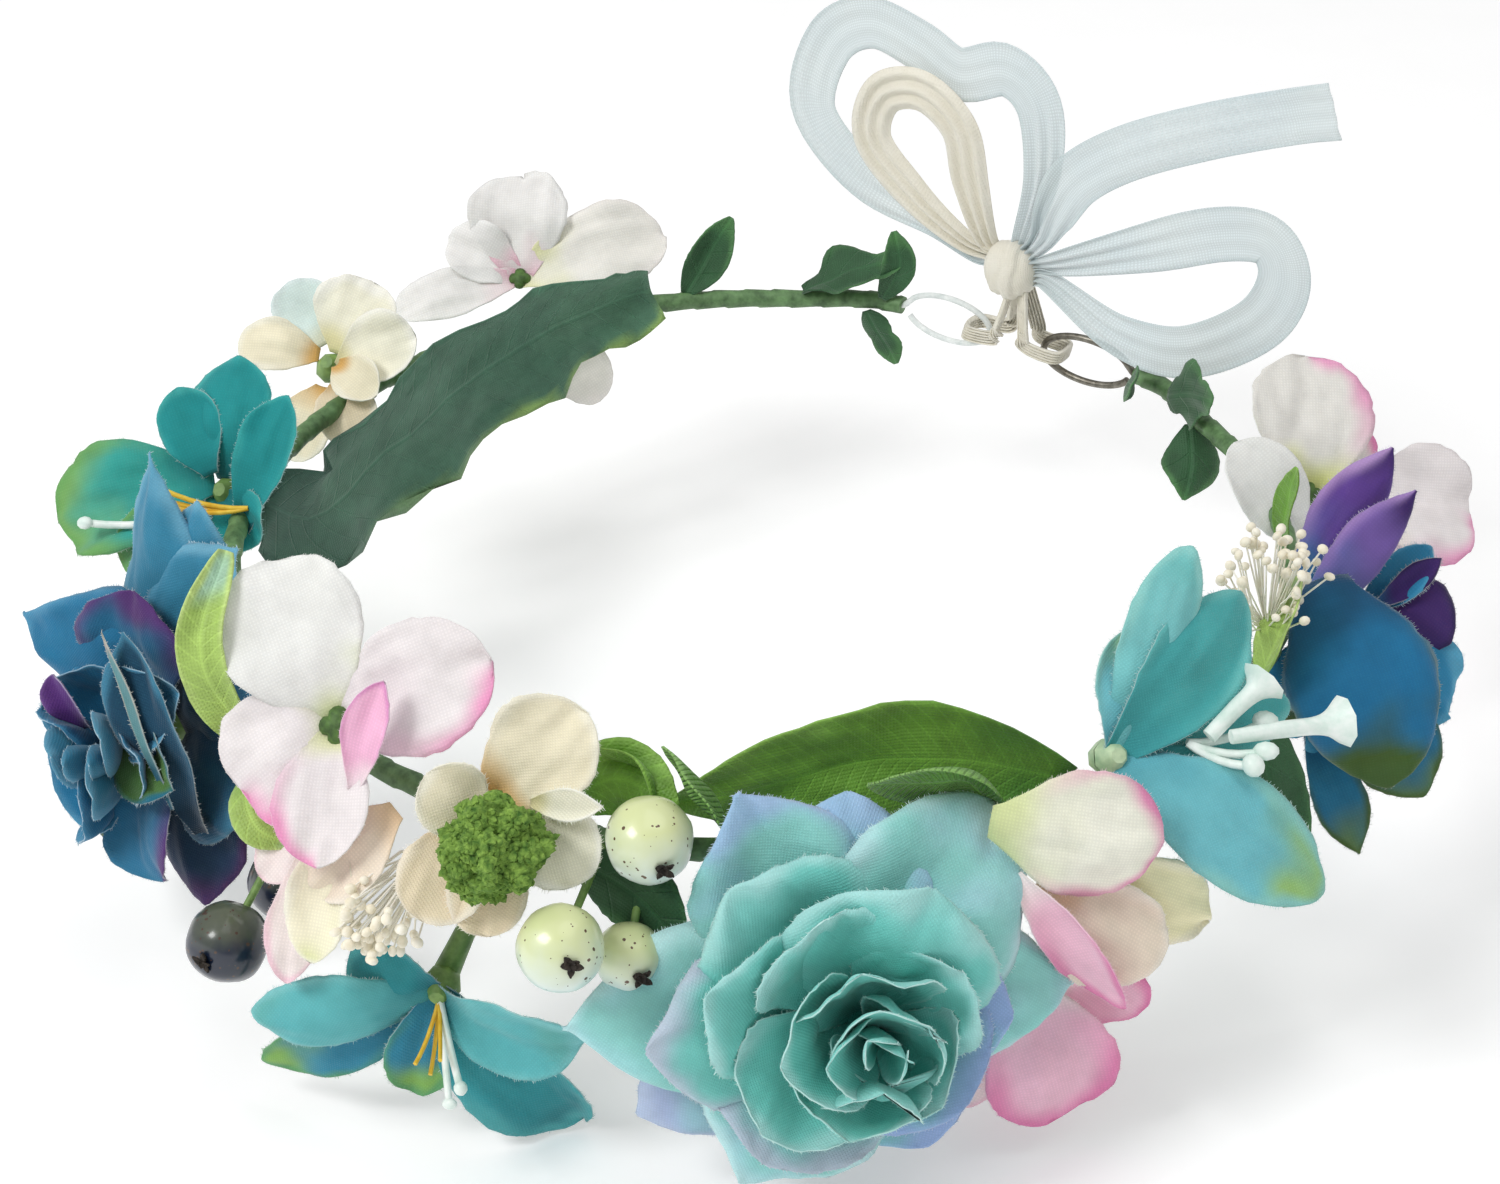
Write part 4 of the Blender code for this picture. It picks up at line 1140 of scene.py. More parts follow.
def make_rear_lily():
    green_teal = dye("#2E9C93", root="#1E8080", rim="#67A05A", tip="#74A65A", under="#3C9070", tip_start=0.45)
    sea = dye("#1B8B8D", root="#115F64", rim="#3AA6A3", under="#17767A")
    flower = REAR_LILY
    cloth = petals(flower, [
        ((7, 21, 3), 17, sea, dict(root=(5, -1, 0), cup=-0.4, lift=0.1, point=0.2)),
        ((-3, 15, 5), 12, sea, dict(root=(3, 0, 2), cup=0.4, lift=0.06)),
        ((17, 13, 1), 11, sea, dict(root=(9, -10, 1), cup=0.4, lift=0.06, point=0.4)),
        ((-26, -8, 2), 21, green_teal, dict(root=(3, -1, 0), lift=0.12, point=0.15)),
        ((-12, -17, 4), 15, green_teal, dict(root=(3, -4, 0), lift=0.08)),
        ((12, -12, 2), 12, sea, dict(root=(4, -4, 0), lift=0.08)),
    ], cup=0.3, point=0.3)
    whorl("rear_lily_six_petals", cloth, "teal", ["rear_lily_petals"], soft=True)
    stamens("rear_lily_yellow_stamens", flower, [(-6, -4, 9), (-4, -5.5, 9), (-5, -2.5, 10)], (10, -6, 3),
            0.00045, "yellow filament")
    stamens("rear_lily_white_stamen", flower, [(-19, -8.5, 9)], (2, -7, 4), 0.0007, "white stamen", 0.0013)
    calyx("rear_lily_cup", flower, 207, 0, ["rear_lily_core"])


def make_right_lily():
    pale_teal = dye("#79C3C4", root="#5FAFB5", rim="#8ED0CB", tip="#6FBDBB", under="#66B5B8")
    mid_teal = dye("#46A3A4", root="#3A959B", rim="#6CB9B6", under="#3F9698")
    hanging = dye("#6DBAC4", root="#5BAAB8", rim="#86C5BE", tip="#93BC6A", under="#5CAAAE", tip_start=0.68)
    flower = RIGHT_LILY
    cloth = petals(flower, [
        ((-2, 32, 6), 12, pale_teal, dict(cup=-0.5, lift=0.08, point=0.15, curl=-0.05)),
        ((-10, 20, 2), 10, hanging, dict(cup=0.3, lift=0.05, point=0.4)),
        ((7, 24, 2), 16, mid_teal, dict(cup=0.4, lift=0.10)),
        ((18, -19, 6), 18, hanging, dict(cup=-0.35, lift=0.12, point=0.15)),
        ((8, -9, -4), 13, mid_teal, dict(cup=0.2, lift=0.1)),
        ((15, 8, -6), 13, mid_teal, dict(cup=0.3, lift=0.1)),
    ], point=0.3)
    whorl("right_lily_six_petals", cloth, "teal", ["right_lily_petals"])
    trumpet = [spot(flower, *place) for place in ((4, 4, 7), (12, 5, 8), (18, 5.5, 8), (21.5, 6, 8))]
    stalk("right_lily_long_pistil", trumpet, [0.0011, 0.0013, 0.0016, 0.0040], "white stamen", "cream_buds")
    short = [spot(flower, *place) for place in ((1, 4, 5), (5, 8, 6), (8, 10.5, 6), (9.5, 12, 6))]
    stalk("right_lily_short_pistil", short, [0.0012, 0.0013, 0.0017, 0.0038], "white stamen", "cream_buds")
    stamens("right_lily_stamens", flower, [(9, 2, 9), (7, 0, 9), (10, 6, 4)], (-2, 3, 3), 0.0007,
            "white stamen", 0.0016)
    calyx("right_lily_cup", flower, 345, 0, ["right_lily_core"], pale=True)


def floret_eye(name, flower, size, nodes):
    """The four-lobed eye moulded in the middle of a floret, on its pin."""
    x, y, h = flower.heart
    centre = spot(flower, x, y, h + 1.2)
    axis = turned_to_front(*flower.axis)
    right = axis.cross(UP).normalized()
    up = right.cross(axis)

    def place(tall, turn):
        radius = size * math.sin(tall) * (0.68 + 0.32 * abs(math.cos(turn * EYE_LOBES / 2)) ** 0.6)
        return (centre + right * radius * math.cos(turn) + up * radius * math.sin(turn)
                + axis * size * 0.55 * math.cos(tall)), None

    obj, _ = round_shell(name, 8, 24, place)
    obj.data.materials.append(finish("floret eye"))
    close_poles(obj).data.shade_smooth()
    return ride(obj, "crown", "bright_leaf", *nodes)


WHITE_DYE = dye("#E6E6E2", root="#CDD698", rim="#EEEEEA", under="#DEDFDC", root_end=0.3)
PINK_END_DYE = dye("#EBE4E4", root="#D8DCA4", rim="#E794BE", under="#EBC0D4", root_end=0.25, rim_start=0.5,
                   side=1)
BLUSH_DYE = dye("#F6E9E6", root="#F0D9C8", rim="#F2CBD6", under="#F3DDE0")
PEACH_DYE = dye("#EDDFCB", root="#DFC29C", rim="#F2E9DA", under="#EBDCC8")


def make_pink_floret():
    pink_left = PINK_END_DYE._replace(side=-1)
    lilac = dye("#EFB4D2", root="#F0DDE2", rim="#D98FC0", under="#D9A0CC")
    flower = PINK_FLORET
    cloth = petals(flower, [
        ((-9, 25, 3), 23, WHITE_DYE, dict(cup=0.15, lift=0.08, ruffle=0.0006, widest=0.62)),
        ((25, 11, 3), 20, PINK_END_DYE, dict(cup=0.2, lift=0.08, ruffle=0.0006)),
        ((-13, -8, 4), 21, pink_left, dict(cup=0.25, lift=0.06, curl=0.05)),
        ((0, -19, 6), 15, PINK_END_DYE, dict(cup=0.3, lift=0.10, point=0.3)),
        ((10, 8, 9), 8, lilac, dict(root=(5, -8, 4), cup=0.7, lift=0.02, point=0.3)),
    ], point=0.0)
    whorl("pink_floret_five_petals", cloth, "white_pink", ["pink_floret_petals"], soft=True, fray=0.4)
    floret_eye("pink_floret_eye", flower, 0.0030, ["pink_floret_centre"])


def make_pink_floret_under_petals():
    flower = PINK_FLORET
    low_cream = dye("#F1ECD0", root="#EBD9B0", rim="#F6F3E2", tip="#D3DC96", under="#EDE6CE")
    cloth = petals(flower, [
        ((-1, -33, 0), 11, low_cream, dict(root=(2, -13, 0), lift=0.06, point=0.3)),
        ((-6, -37, -4), 9, BLUSH_DYE, dict(root=(-2, -16, -3), point=0.3)),
        ((-2, -23, 1), 13, PEACH_DYE, dict(root=(11, -11, 1), cup=0.25, lift=0.06)),
        ((-10, -22, -4), 10, BLUSH_DYE, dict(root=(0, -10, -3))),
    ], cup=0.3, lift=0.05, point=0.2)
    whorl("pink_floret_under_petals", cloth, "white_pink", [], soft=True, fray=0.4)


def make_rear_white_floret():
    flower = REAR_WHITE_FLORET
    blush_root = dye("#E9E7E4", root="#E8A9BE", rim="#F0EFEC", under="#ECECE8", root_end=0.3)
    cream_root = dye("#EAE7DF", root="#DDDDA2", rim="#EFEAE4", under="#F0EEE2", root_end=0.4)
    cloth = petals(flower, [
        ((-3, 20, 4), 20, blush_root, dict(curl=0.1, ruffle=0.0006)),
        ((26, 8, 1), 18, cream_root, dict(ruffle=0.0008)),
        ((-17, 7, 3), 12, blush_root, dict(ruffle=0.0004)),
        ((-27, -8, 4), 11, blush_root),
        ((13, -25, -6), 12, cream_root, dict(root=(4, -12, -4))),
    ], cup=0.2, lift=0.1, point=0.0)
    whorl("rear_white_floret_five_petals", cloth, "white_pink", ["rear_white_floret_petals"], soft=True,
          fray=0)
    floret_eye("rear_white_floret_eye", flower, 0.0022, ["rear_white_floret_centre"])


def make_right_white_floret():
    flower = RIGHT_WHITE_FLORET
    pink_right = dye("#E9E5E2", root="#D2DAA0", rim="#E588B8", under="#F0DCE4", root_end=0.3, side=1,
                     rim_start=0.7)
    yellow_root = dye("#EAE7E0", root="#D6DA8E", rim="#EBA3C6", under="#F2ECE4", root_end=0.4, side=1,
                      rim_start=0.6)
    cloth = petals(flower, [
        ((-1, 18, 4), 24, yellow_root, dict(root=(-2, -6, 0), cup=0.3, point=0.0)),
        ((-15, 3, 5), 14, WHITE_DYE, dict(root=(-3, -16, 0), lift=0.08)),
        ((31, -9, -3), 23, PINK_END_DYE, dict(root=(8, -8, -2))),
        ((17, -24, -4), 12, PINK_END_DYE, dict(root=(8, -12, -3))),
        ((8, 8, -4), 15, pink_right, dict(root=(0, -6, -2))),
    ], cup=0.2, lift=0.1, point=0.1)
    whorl("right_white_floret_five_petals", cloth, "white_pink", ["right_white_floret_petals"], soft=True,
          fray=0)
    floret_eye("right_white_floret_eye", flower, 0.0022, ["right_white_floret_centre"])


def make_low_pink_floret():
    flower = LOW_PINK_FLORET
    vivid = dye("#F2BFD3", root="#F7E9E6", rim="#E07FAE", under="#E58BB4", rim_start=0.5)
    green_white = dye("#F3F2E2", root="#D9E2A4", rim="#E48DB6", under="#EFE6DC", root_end=0.6, rim_start=0.7)
    yellow = dye("#F0EBC0", root="#E2D98C", rim="#F5F1D8", under="#ECE6BC")
    cloth = petals(flower, [
        ((10, 18, 8), 21, green_white, dict(root=(-15, 21, 4), cup=-0.3, point=0.0)),
        ((11, -1, 4), 17, PEACH_DYE, dict(root=(-8, 11, 2), point=0.0)),
        ((19, 5, -1), 16, yellow, dict(root=(-2, 13, 0), point=0.2, ruffle=0.0008)),
        ((6, -7, 7), 10, vivid, dict(root=(-11, 13, 4), cup=0.7, point=0.4, twist=0.8)),
        ((-2, -26, 2), 21, vivid, dict(root=(-9, -4, 0), cup=0.15, point=0.0)),
        ((-19, -24, -1), 10, BLUSH_DYE, dict(root=(-12, -10, -1), point=0.1)),
        ((9, -10, 0), 12, vivid, dict(root=(-4, 0, 0), point=0.1)),
    ], cup=0.2, lift=0.08)
    whorl("low_pink_floret_petals_dyed", cloth, "white_pink", ["low_pink_floret_petals"], soft=True, fray=0.5)
    floret_eye("low_pink_floret_eye", flower, 0.0022, ["low_pink_floret_centre"])


CREAM_DYE = dye("#EEE5C8", root="#D3A55E", rim="#F3EEDA", under="#EBE1C8", root_end=0.38)
SAND_DYE = dye("#EEDDBE", root="#D6B27C", rim="#F4EAD6", under="#EBDABD")
PALE_CREAM_DYE = dye("#F1EED8", root="#E0D9A8", rim="#F8F6EA", under="#EEEAD6")


def make_cream_flower():
    flower = CREAM_FLOWER
    cloth = petals(flower, [
        ((12, 18, 4), 17, CREAM_DYE, dict(root=(-2, 5, 0), cup=0.25, ruffle=0.0005)),
        ((-11, 9, 5), 12, CREAM_DYE, dict(root=(-3, 2, 0), cup=0.5, lift=0.05)),
        ((-11, -12, 3), 14, SAND_DYE, dict(root=(-5, 2, 0), cup=0.3)),
        ((-2, -14, 1), 12, SAND_DYE, dict(root=(-2, 0, 0), cup=0.3)),
        ((13, -5, 2), 13, PALE_CREAM_DYE, dict(root=(3, 3, 0), cup=0.35, point=0.2)),
        ((14.5, 5, 8), 5, PALE_CREAM_DYE, dict(root=(4, 5, 3), cup=0.5, point=0.8)),
    ], lift=0.08, point=0.1)
    whorl("cream_flower_six_petals", cloth, "cream", ["cream_flower_petals"], fray=0.6)
    calyx("cream_flower_cup", flower, 283, 0, ["cream_flower_centre"])


def make_rear_cream_flower():
    ice = dye("#D5E7E2", root="#E4E6CC", rim="#DCEAE8", under="#CFE2E0")
    flower = REAR_CREAM_FLOWER
    cloth = petals(flower, [
        ((-10, 12, 3), 12, ice, dict(root=(-3, 0, 0))),
        ((6, 12, 3), 17, PALE_CREAM_DYE, dict(root=(0, -2, 0))),
        ((-19, 0, 3), 11, CREAM_DYE, dict(root=(-4, -2, 0))),
        ((15, 1, 5), 15, PALE_CREAM_DYE, dict(root=(0, -5, 1), cup=0.5, lift=0.06, point=0.1)),
        ((-8, -22, 1), 12, CREAM_DYE, dict(root=(-3, -8, 0))),
        ((5, -19, 4), 12, SAND_DYE, dict(root=(0, -7, 1), cup=0.4)),
        ((8, -10, 7), 10, CREAM_DYE, dict(root=(0, -4, 3), cup=0.6, lift=0.05, point=0.1)),
    ], cup=0.3, lift=0.08, point=0.0)
    whorl("rear_cream_flower_seven_petals", cloth, "cream", ["rear_cream_flower_petals"], soft=True, fray=0)
    calyx("rear_cream_flower_cup", flower, 178, 0, ["rear_cream_flower_centre"])


# ---------------------------------------------------------------- leaves


def blade(name, node, points, width, side, colours, cloth_kind, lobes=0, blunt=0.8, **more):
    """One leaf on a smooth line through the points. lobes cuts teeth in its edge, blunt rounds its end."""
    cloth = Cloth()

    def cut(u):
        half = max(0.05, math.sin(math.pi * min(1.0, 0.05 + u * 0.93)) ** blunt)
        return half * (0.62 + 0.38 * abs(math.cos(math.pi * lobes * u))) if lobes else half

    lay(cloth, lambda u: catmull_rom(points, u), width, colours, side=side, shape=cut,
        seed=len(name) * 7 + ord(name[-1]), **more)
    return ride(sew(name, cloth, (cloth_kind,), LEAF_THICKNESS), "crown",
                "leaf" if cloth_kind == "dark leaf" else "bright_leaf", *([node] if node else []))


def ring_blades(rows, colours, cloth_kind):
    """Leaves laid out from the ring. A row holds a leaf's name, node, points, width, side and own options.

    A point is an angle on the ring, a way out from it and a height.
    """
    for name, node, places, width, side, own in rows:
        blade(name, node, [on_ring(*place) for place in places], width, side, colours, cloth_kind, **own)


LEAF_CLEAR = TAPE_RADIUS * 0.8
LEAF_BESIDE = TAPE_RADIUS + 0.0009
BRIGHT_DYE = dye("#6B9C36", root="#4F8430", rim="#82AE4C", tip="#739F3E", under="#86AE58")
TWIST_DYE = dye("#9DBB5E", root="#6F9A42", rim="#B6CE7C", tip="#9CC0A6", under="#A4C184", tip_start=0.8)


def make_vine_leaves(vine):
    """The small waxed leaves along both bare arms."""
    clear = LEAF_CLEAR
    ring_blades([
        ("left_vine_leaf_upright", "left_vine_leaf_rear",
         ((134, 0, clear), (131, 0.002, 0.008), (128, 0.003, 0.0165)),
         0.0085, heading(40, 0), dict(cup=0.5)),
        ("left_vine_leaf_cluster", "left_vine_leaf_pair",
         ((119, 0, clear), (114, 0.001, 0.006), (106, 0.002, 0.009)),
         0.0130, heading(100, 20), dict(lobes=2, cup=-0.3, ruffle=0.0008)),
        ("left_vine_leaf_drooping", "left_vine_leaf_hanging",
         ((111, 0, -clear), (109, 0, -0.007), (107, 0, -0.0125)),
         0.0085, heading(10, 0), dict(lobes=1, cup=0.3)),
        ("left_vine_leaf_by_bow", None, ((109, 0, clear), (107, 0.001, 0.009), (108, 0.002, 0.0155)),
         0.0070, heading(25, 0), dict(cup=0.4)),
        ("right_vine_leaf_cluster", "right_vine_leaf_pair",
         ((66, -0.0015, clear), (61, -0.003, 0.006), (55, -0.003, 0.009)),
         0.0130, UP * 0.9 - FRONT * 0.3, dict(lobes=2, cup=0.2)),
        ("right_vine_leaf_drooping", "right_vine_leaf_low",
         ((62, -0.001, -clear), (59, -0.003, -0.007), (57, -0.006, -0.0125)),
         0.0110, RIGHT * 0.9 + UP * 0.3, dict(blunt=1.1, cup=0.3)),
        ("right_vine_leaf_inner", None, ((72, -clear, 0), (70, -0.006, 0.003), (67, -0.010, 0.006)),
         0.0075, heading(100, 30), dict(cup=0.4)),
    ], vine, "dark leaf")


def make_inner_leaves():
    """The long wavy leaf and the satin leaf inside the ring, and the upright leaves behind the large rose."""
    long_dye = dye("#47705A", root="#35594A", rim="#86A65C", tip="#4F7A60", under="#5F866C", side=-1,
                   rim_start=0.85)
    ribbed = dye("#5F9238", root="#47782C", rim="#89B565", tip="#79A858", under="#7FA35F")
    ring_blades([
        ("long_dark_leaf", "long_leaf",
         ((208, -LEAF_BESIDE, 0.0), (200, -0.0080, -0.009), (184, -0.0110, -0.006), (168, -0.0110, -0.001),
          (153, -0.0090, 0.003), (139, -0.0060, 0.006)),
         0.0270, Vector((0, 0, 1)), dict(cup=-0.2, ruffle=0.0022, waves=4.0, blunt=0.42, fringe=0.09)),
    ], long_dye, "dark leaf")
    ring_blades([
        ("front_satin_leaf", "front_leaf",
         ((337, -LEAF_BESIDE, 0.001), (322, -0.0090, 0.008), (308, -0.0080, 0.007), (296, -0.0060, 0.003)),
         0.0200, UP * 0.9 + FRONT * 0.35, dict(cup=0.3)),
    ], BRIGHT_DYE, "bright leaf")
    ring_blades([
        ("right_coarse_leaf", "right_ribbed_leaf",
         ((327, 0.0010, 0.0040), (322, 0.0030, 0.011), (314, 0.0030, 0.0135)),
         0.0110, heading(300, 50), dict(cup=0.4)),
        ("middle_coarse_leaf", None, ((303, 0.002, LEAF_CLEAR), (300, 0.001, 0.010), (295, 0.000, 0.016)),
         0.0095, heading(300, 50), dict(cup=0.4)),
    ], ribbed, "ribbed leaf")
    ring_blades([
        ("middle_plain_leaf", None, ((296, -0.001, LEAF_CLEAR), (293, -0.003, 0.009), (289, -0.003, 0.014)),
         0.0085, heading(300, 50), dict(cup=0.4)),
    ], BRIGHT_DYE, "bright leaf")


def make_berry_leaves(vine):
    """The bright leaf and the shaded leaf behind the pale berries."""
    for name, places, width, side, colours, kind in (
        ("berry_backing_leaf", ((8, 4, -6), (16, 8, -5), (25, 4, -5)), 0.0120, UP, BRIGHT_DYE, "bright leaf"),
        ("berry_shaded_leaf", ((10, -4, -6), (19, -9, -6), (26, -17, -6)), 0.0110, RIGHT * 0.6 + UP, vine,
         "dark leaf"),
    ):
        points = [spot(CREAM_FLOWER, *place) for place in places]
        blade(name, None, points, width, side, colours, kind, cup=0.3)


def make_curled_leaves():
    """The twisted pale leaf and the low pale leaf beside the left blue rose."""
    seat = PINK_FLORET.seat
    for name, node, places, width, side, own in (
        ("left_curled_leaf", "left_twist_leaf",
         ((-9, -4, -7), (-15, 3, -3), (-18.2, 14, 0), (-14.5, 26.5, 1)),
         0.0078, RIGHT * 0.8 + FRONT * 0.5, dict(cup=0.5, twist=0.7, blunt=0.45)),
        ("left_small_leaf", None, ((-10, -3, -7), (-12.6, -9, -4), (-10.5, -14.5, -3), (-5, -17, -3)),
         0.0066, RIGHT * 0.8 + UP * 0.5, dict(cup=0.6)),
    ):
        points = [seat + turned_to_front(x * MM, y * MM, z * MM) for x, y, z in places]
        blade(name, node, points, width, side, TWIST_DYE, "bright leaf", **own)


def make_leaves(colours):
    vine = dye(tuple(colours.leaf_green), root="#2B5232", rim="#4C7C4A", tip="#477843", under="#64875A")
    make_vine_leaves(vine)
    make_inner_leaves()
    make_berry_leaves(vine)
    make_curled_leaves()
    # The leaves under and over the right blue rose
    ring_blades([
        ("right_dark_leaf", "right_low_leaf",
         ((1, LEAF_BESIDE, 0), (358, 0.010, -0.014), (354, 0.018, -0.026)),
         0.0120, heading(40, 20), dict(cup=0.3)),
    ], vine, "dark leaf")
    ring_blades([
        ("right_pale_leaf", None, ((3, 0.002, LEAF_CLEAR), (6, 0.004, 0.010), (10, 0.004, 0.015)),
         0.0110, heading(330, 30), dict(cup=0.4)),
    ], TWIST_DYE, "bright leaf")
    ring_blades([
        ("right_upright_leaf", None, ((29, -0.001, LEAF_CLEAR), (27, -0.002, 0.012), (25, -0.002, 0.020)),
         0.0055, heading(330, 30), dict(cup=0.5)),
    ], BRIGHT_DYE, "bright leaf")


# ---------------------------------------------------------------- ring and eyelets


def tape_tree():
    """Tape wound along a drawn line. Each turn laps over the one before, and its edge is a low ridge."""
    tree = Tree("Wound tape", {"Radius": "Float", "Pitch": "Float", "Ridge": "Float", "Material": "Material"})
    source = tree.inputs
    line = tree.first("GeometryNodeMeshToCurve", {"Mesh": source["Geometry"]})
    line = tree.first("GeometryNodeResampleCurve", {"Curve": line, "Length": 0.0007}, mode="LENGTH")
    far = tree.add("GeometryNodeSplineParameter").outputs["Length"]
    line = tree.first(
        "GeometryNodeStoreNamedAttribute", {"Geometry": line, "Name": "far", "Value": far},
        data_type="FLOAT", domain="POINT",
    )
    ring = tree.first("GeometryNodeCurvePrimitiveCircle", {"Resolution": 16, "Radius": source["Radius"]})
    round_way = tree.add("GeometryNodeSplineParameter").outputs["Factor"]
    ring = tree.first(
        "GeometryNodeStoreNamedAttribute", {"Geometry": ring, "Name": "round", "Value": round_way},
        data_type="FLOAT", domain="POINT",
    )
    tube = tree.first("GeometryNodeCurveToMesh", {"Curve": line, "Profile Curve": ring, "Fill Caps": True})
    far = tree.first("GeometryNodeInputNamedAttribute", {"Name": "far"}, data_type="FLOAT")
    round_way = tree.first("GeometryNodeInputNamedAttribute", {"Name": "round"}, data_type="FLOAT")
    turns = tree.first("ShaderNodeMath", {0: far, 1: source["Pitch"]}, operation="DIVIDE")
    phase = tree.first("ShaderNodeMath", {0: turns, 1: round_way}, operation="ADD")
    part = tree.first("ShaderNodeMath", {0: phase}, operation="FRACT")
    height = tree.first("ShaderNodeMath", {0: part, 1: source["Ridge"]}, operation="MULTIPLY")
    normal = tree.first("GeometryNodeInputNormal")
    offset = tree.first("ShaderNodeVectorMath", {0: normal, "Scale": height}, operation="SCALE")
    ridged = tree.first("GeometryNodeSetPosition", {"Geometry": tube, "Offset": offset})
    smooth = tree.first("GeometryNodeSetShadeSmooth", {"Geometry": ridged})
    return tree.close(smooth, source["Material"])


def arm_point(t):
    """The right arm's centre line, from the ring at 0 to the arm's end, level with X, at 1."""
    start, turn = on_ring(90 - ARM_BEND, 0, 0), math.radians(90 - ARM_BEND)
    leave = Vector((-math.sin(turn), math.cos(turn), 0))
    end = Vector((ARM_END_X, ARM_END_Y, 0))
    reach = (end - start).length
    return (
        start * (2 * t ** 3 - 3 * t ** 2 + 1) + end * (3 * t ** 2 - 2 * t ** 3)
        + leave * reach * (t ** 3 - 2 * t ** 2 + t) + Vector((-reach, 0, 0)) * (t ** 3 - t ** 2)
    )


def line_mesh(name, points):
    mesh = bpy.data.meshes.new(name)
    mesh.from_pydata(points, [(i, i + 1) for i in range(len(points) - 1)], [])
    return put_in_scene(bpy.data.objects.new(name, mesh))


def make_ring(sizes):
    right = [arm_point(step / 12) for step in range(1, 13)]
    left = [Vector((-point.x, point.y, point.z)) for point in reversed(right)]
    sweep = 360 - 2 * ARM_BEND
    arc = [on_ring(90 + ARM_BEND + sweep * step / 120, 0, 0) for step in range(121)]
    tape = line_mesh("wound_stem_tape", left + arc + right)
    grow(tape, tape_tree(), {
        "Radius": TAPE_RADIUS - sizes.tape_ridge, "Pitch": sizes.tape_pitch, "Ridge": sizes.tape_ridge,
        "Material": finish("tape"),
    })
    ride(tape, "crown", "tape", "stem_tape", "core_wire")
    for side, name, node, short, radius in (
        (-1, "left_eyelet_papered_wire", "left_eyelet", "white wire", 0.0006),
        (1, "right_eyelet_bare_wire", "right_eyelet", "wire", 0.0007),
    ):
        root, tip = ARM_END_X - EYELET_WELD_GAP, ARM_END_X - EYELET_LENGTH
        middle, half_length = (root + tip) / 2, (root - tip) / 2
        loop = [
            Vector((side * (middle + half_length * math.cos(math.radians(angle))), ARM_END_Y,
                    EYELET_HALF_HEIGHT * math.sin(math.radians(angle))))
            for angle in range(20, 350, 10)
        ]
        shank = [Vector((side * point.x, point.y, point.z)) for point in (arm_point(0.9), arm_point(1.0))]
        stalk(name, shank + loop, [radius, radius], short, "steel", nodes=(node,), steps=120)


# ---------------------------------------------------------------- berries, moss, baby's breath


def make_berry(name, node, angle, centre, kind, radius, lean):
    """A lumpy lacquered ball on a short stem, with a dried star where the blossom was."""
    axis = lean.normalized()
    across = axis.orthogonal().normalized()
    beside = axis.cross(across)
    dice = random.Random(len(name))
    shift = Vector((dice.random(), dice.random(), dice.random())) * 9

    def place(tall, turn):
        way = (across * math.cos(turn) + beside * math.sin(turn)) * math.sin(tall) + axis * math.cos(tall)
        lump = 1 + 0.05 * noise.noise(way * 1.7 + shift) - 0.06 * math.exp(-(tall / 0.22) ** 2)
        return centre + way * radius * lump, 0.5 + 0.5 * way.z

    ball, levels = round_shell(name, 20, 32, place)
    ball.data.attributes.new("level", "FLOAT", "POINT").data.foreach_set("value", levels)
    ball.data.materials.append(finish(kind))
    close_poles(ball).data.shade_smooth()
    slot = "pale_berry" if kind == "pale berry" else "dark_berry"
    ride(ball, "crown", slot, *([node] if node else []))
    star = Cloth()
    black = dye("#1E1913", rim="#2C251C")
    crown_point = centre + axis * radius * 0.94
    for arm in range(9):
        turn = 2 * math.pi * arm / 9 + dice.random()
        way = across * math.cos(turn) + beside * math.sin(turn)
        start = crown_point - way * 0.0002
        end = crown_point + way * dice.uniform(0.0008, 0.0019) + axis * 0.0006
        lay(star, lambda u, a=start, b=end: a.lerp(b, u), 0.0010, black, face=axis, point=1.0, cup=0.6,
            seed=arm)
    ride(sew(name + "_dried_star", star, ("dried tip",), 0.00025), "crown", slot)
    root = on_ring(angle, 0, 0)
    inside = centre - (centre - root).normalized() * radius * 0.8
    stalk(name + "_stem", [root, root.lerp(centre, 0.5), inside], [0.0007, 0.0006], "calyx", slot)


def make_berries(sizes):
    tilt = RIGHT * 0.2 + FRONT * 0.9 - UP * 0.45
    for name, node, angle, place, kind, share, lean in (
        ("lacquered_berry_left", "pale_berry_left", 290, (290, 0.0220, -0.0030), "pale berry", 1.0,
         FRONT * 0.9 + RIGHT * 0.30 - UP * 0.25),
        ("lacquered_berry_right", "pale_berry_right", 295.5, (295.3, 0.0085, 0.0075), "pale berry", 1.0,
         FRONT * 0.7 + RIGHT * 0.35 - UP * 0.6),
        ("lacquered_dark_berry_front", "dark_berry_front", 258, (259, 0.0240, -0.0250), "dark berry", 1.0,
         tilt - RIGHT * 0.7),
        ("lacquered_dark_berry_back", "dark_berry_back", 254, (255, 0.0080, -0.0260), "dark berry", 1.0,
         tilt),
        ("lacquered_small_berry", None, 294, (294, 0.0135, -0.0100), "pale berry", 0.80,
         FRONT * 0.8 - UP * 0.5 + RIGHT * 0.4),
    ):
        make_berry(name, node, angle, on_ring(*place), kind, sizes.berry_radius * share, lean)


def make_moss(sizes):
    """A foam core with flocked crumbs all over it."""
    centre = spot(CREAM_FLOWER, -1, -1, 9)

    def place(tall, turn):
        way = Vector((math.sin(tall) * math.cos(turn), math.sin(tall) * math.sin(turn), math.cos(tall)))
        return centre + way * (MOSS_RADIUS * (1 + 0.6 * noise.noise(way * 2.3))), None

    moss, _ = round_shell("flocked_moss_ball", 14, 20, place)
    grow(close_poles(moss), crumb_tree(), {
        "Size": sizes.crumb_size, "Density": 2.6e6, "Seed": 4, "Material": finish("moss"),
    })
    ride(moss, "crown", "moss", "moss_ball")


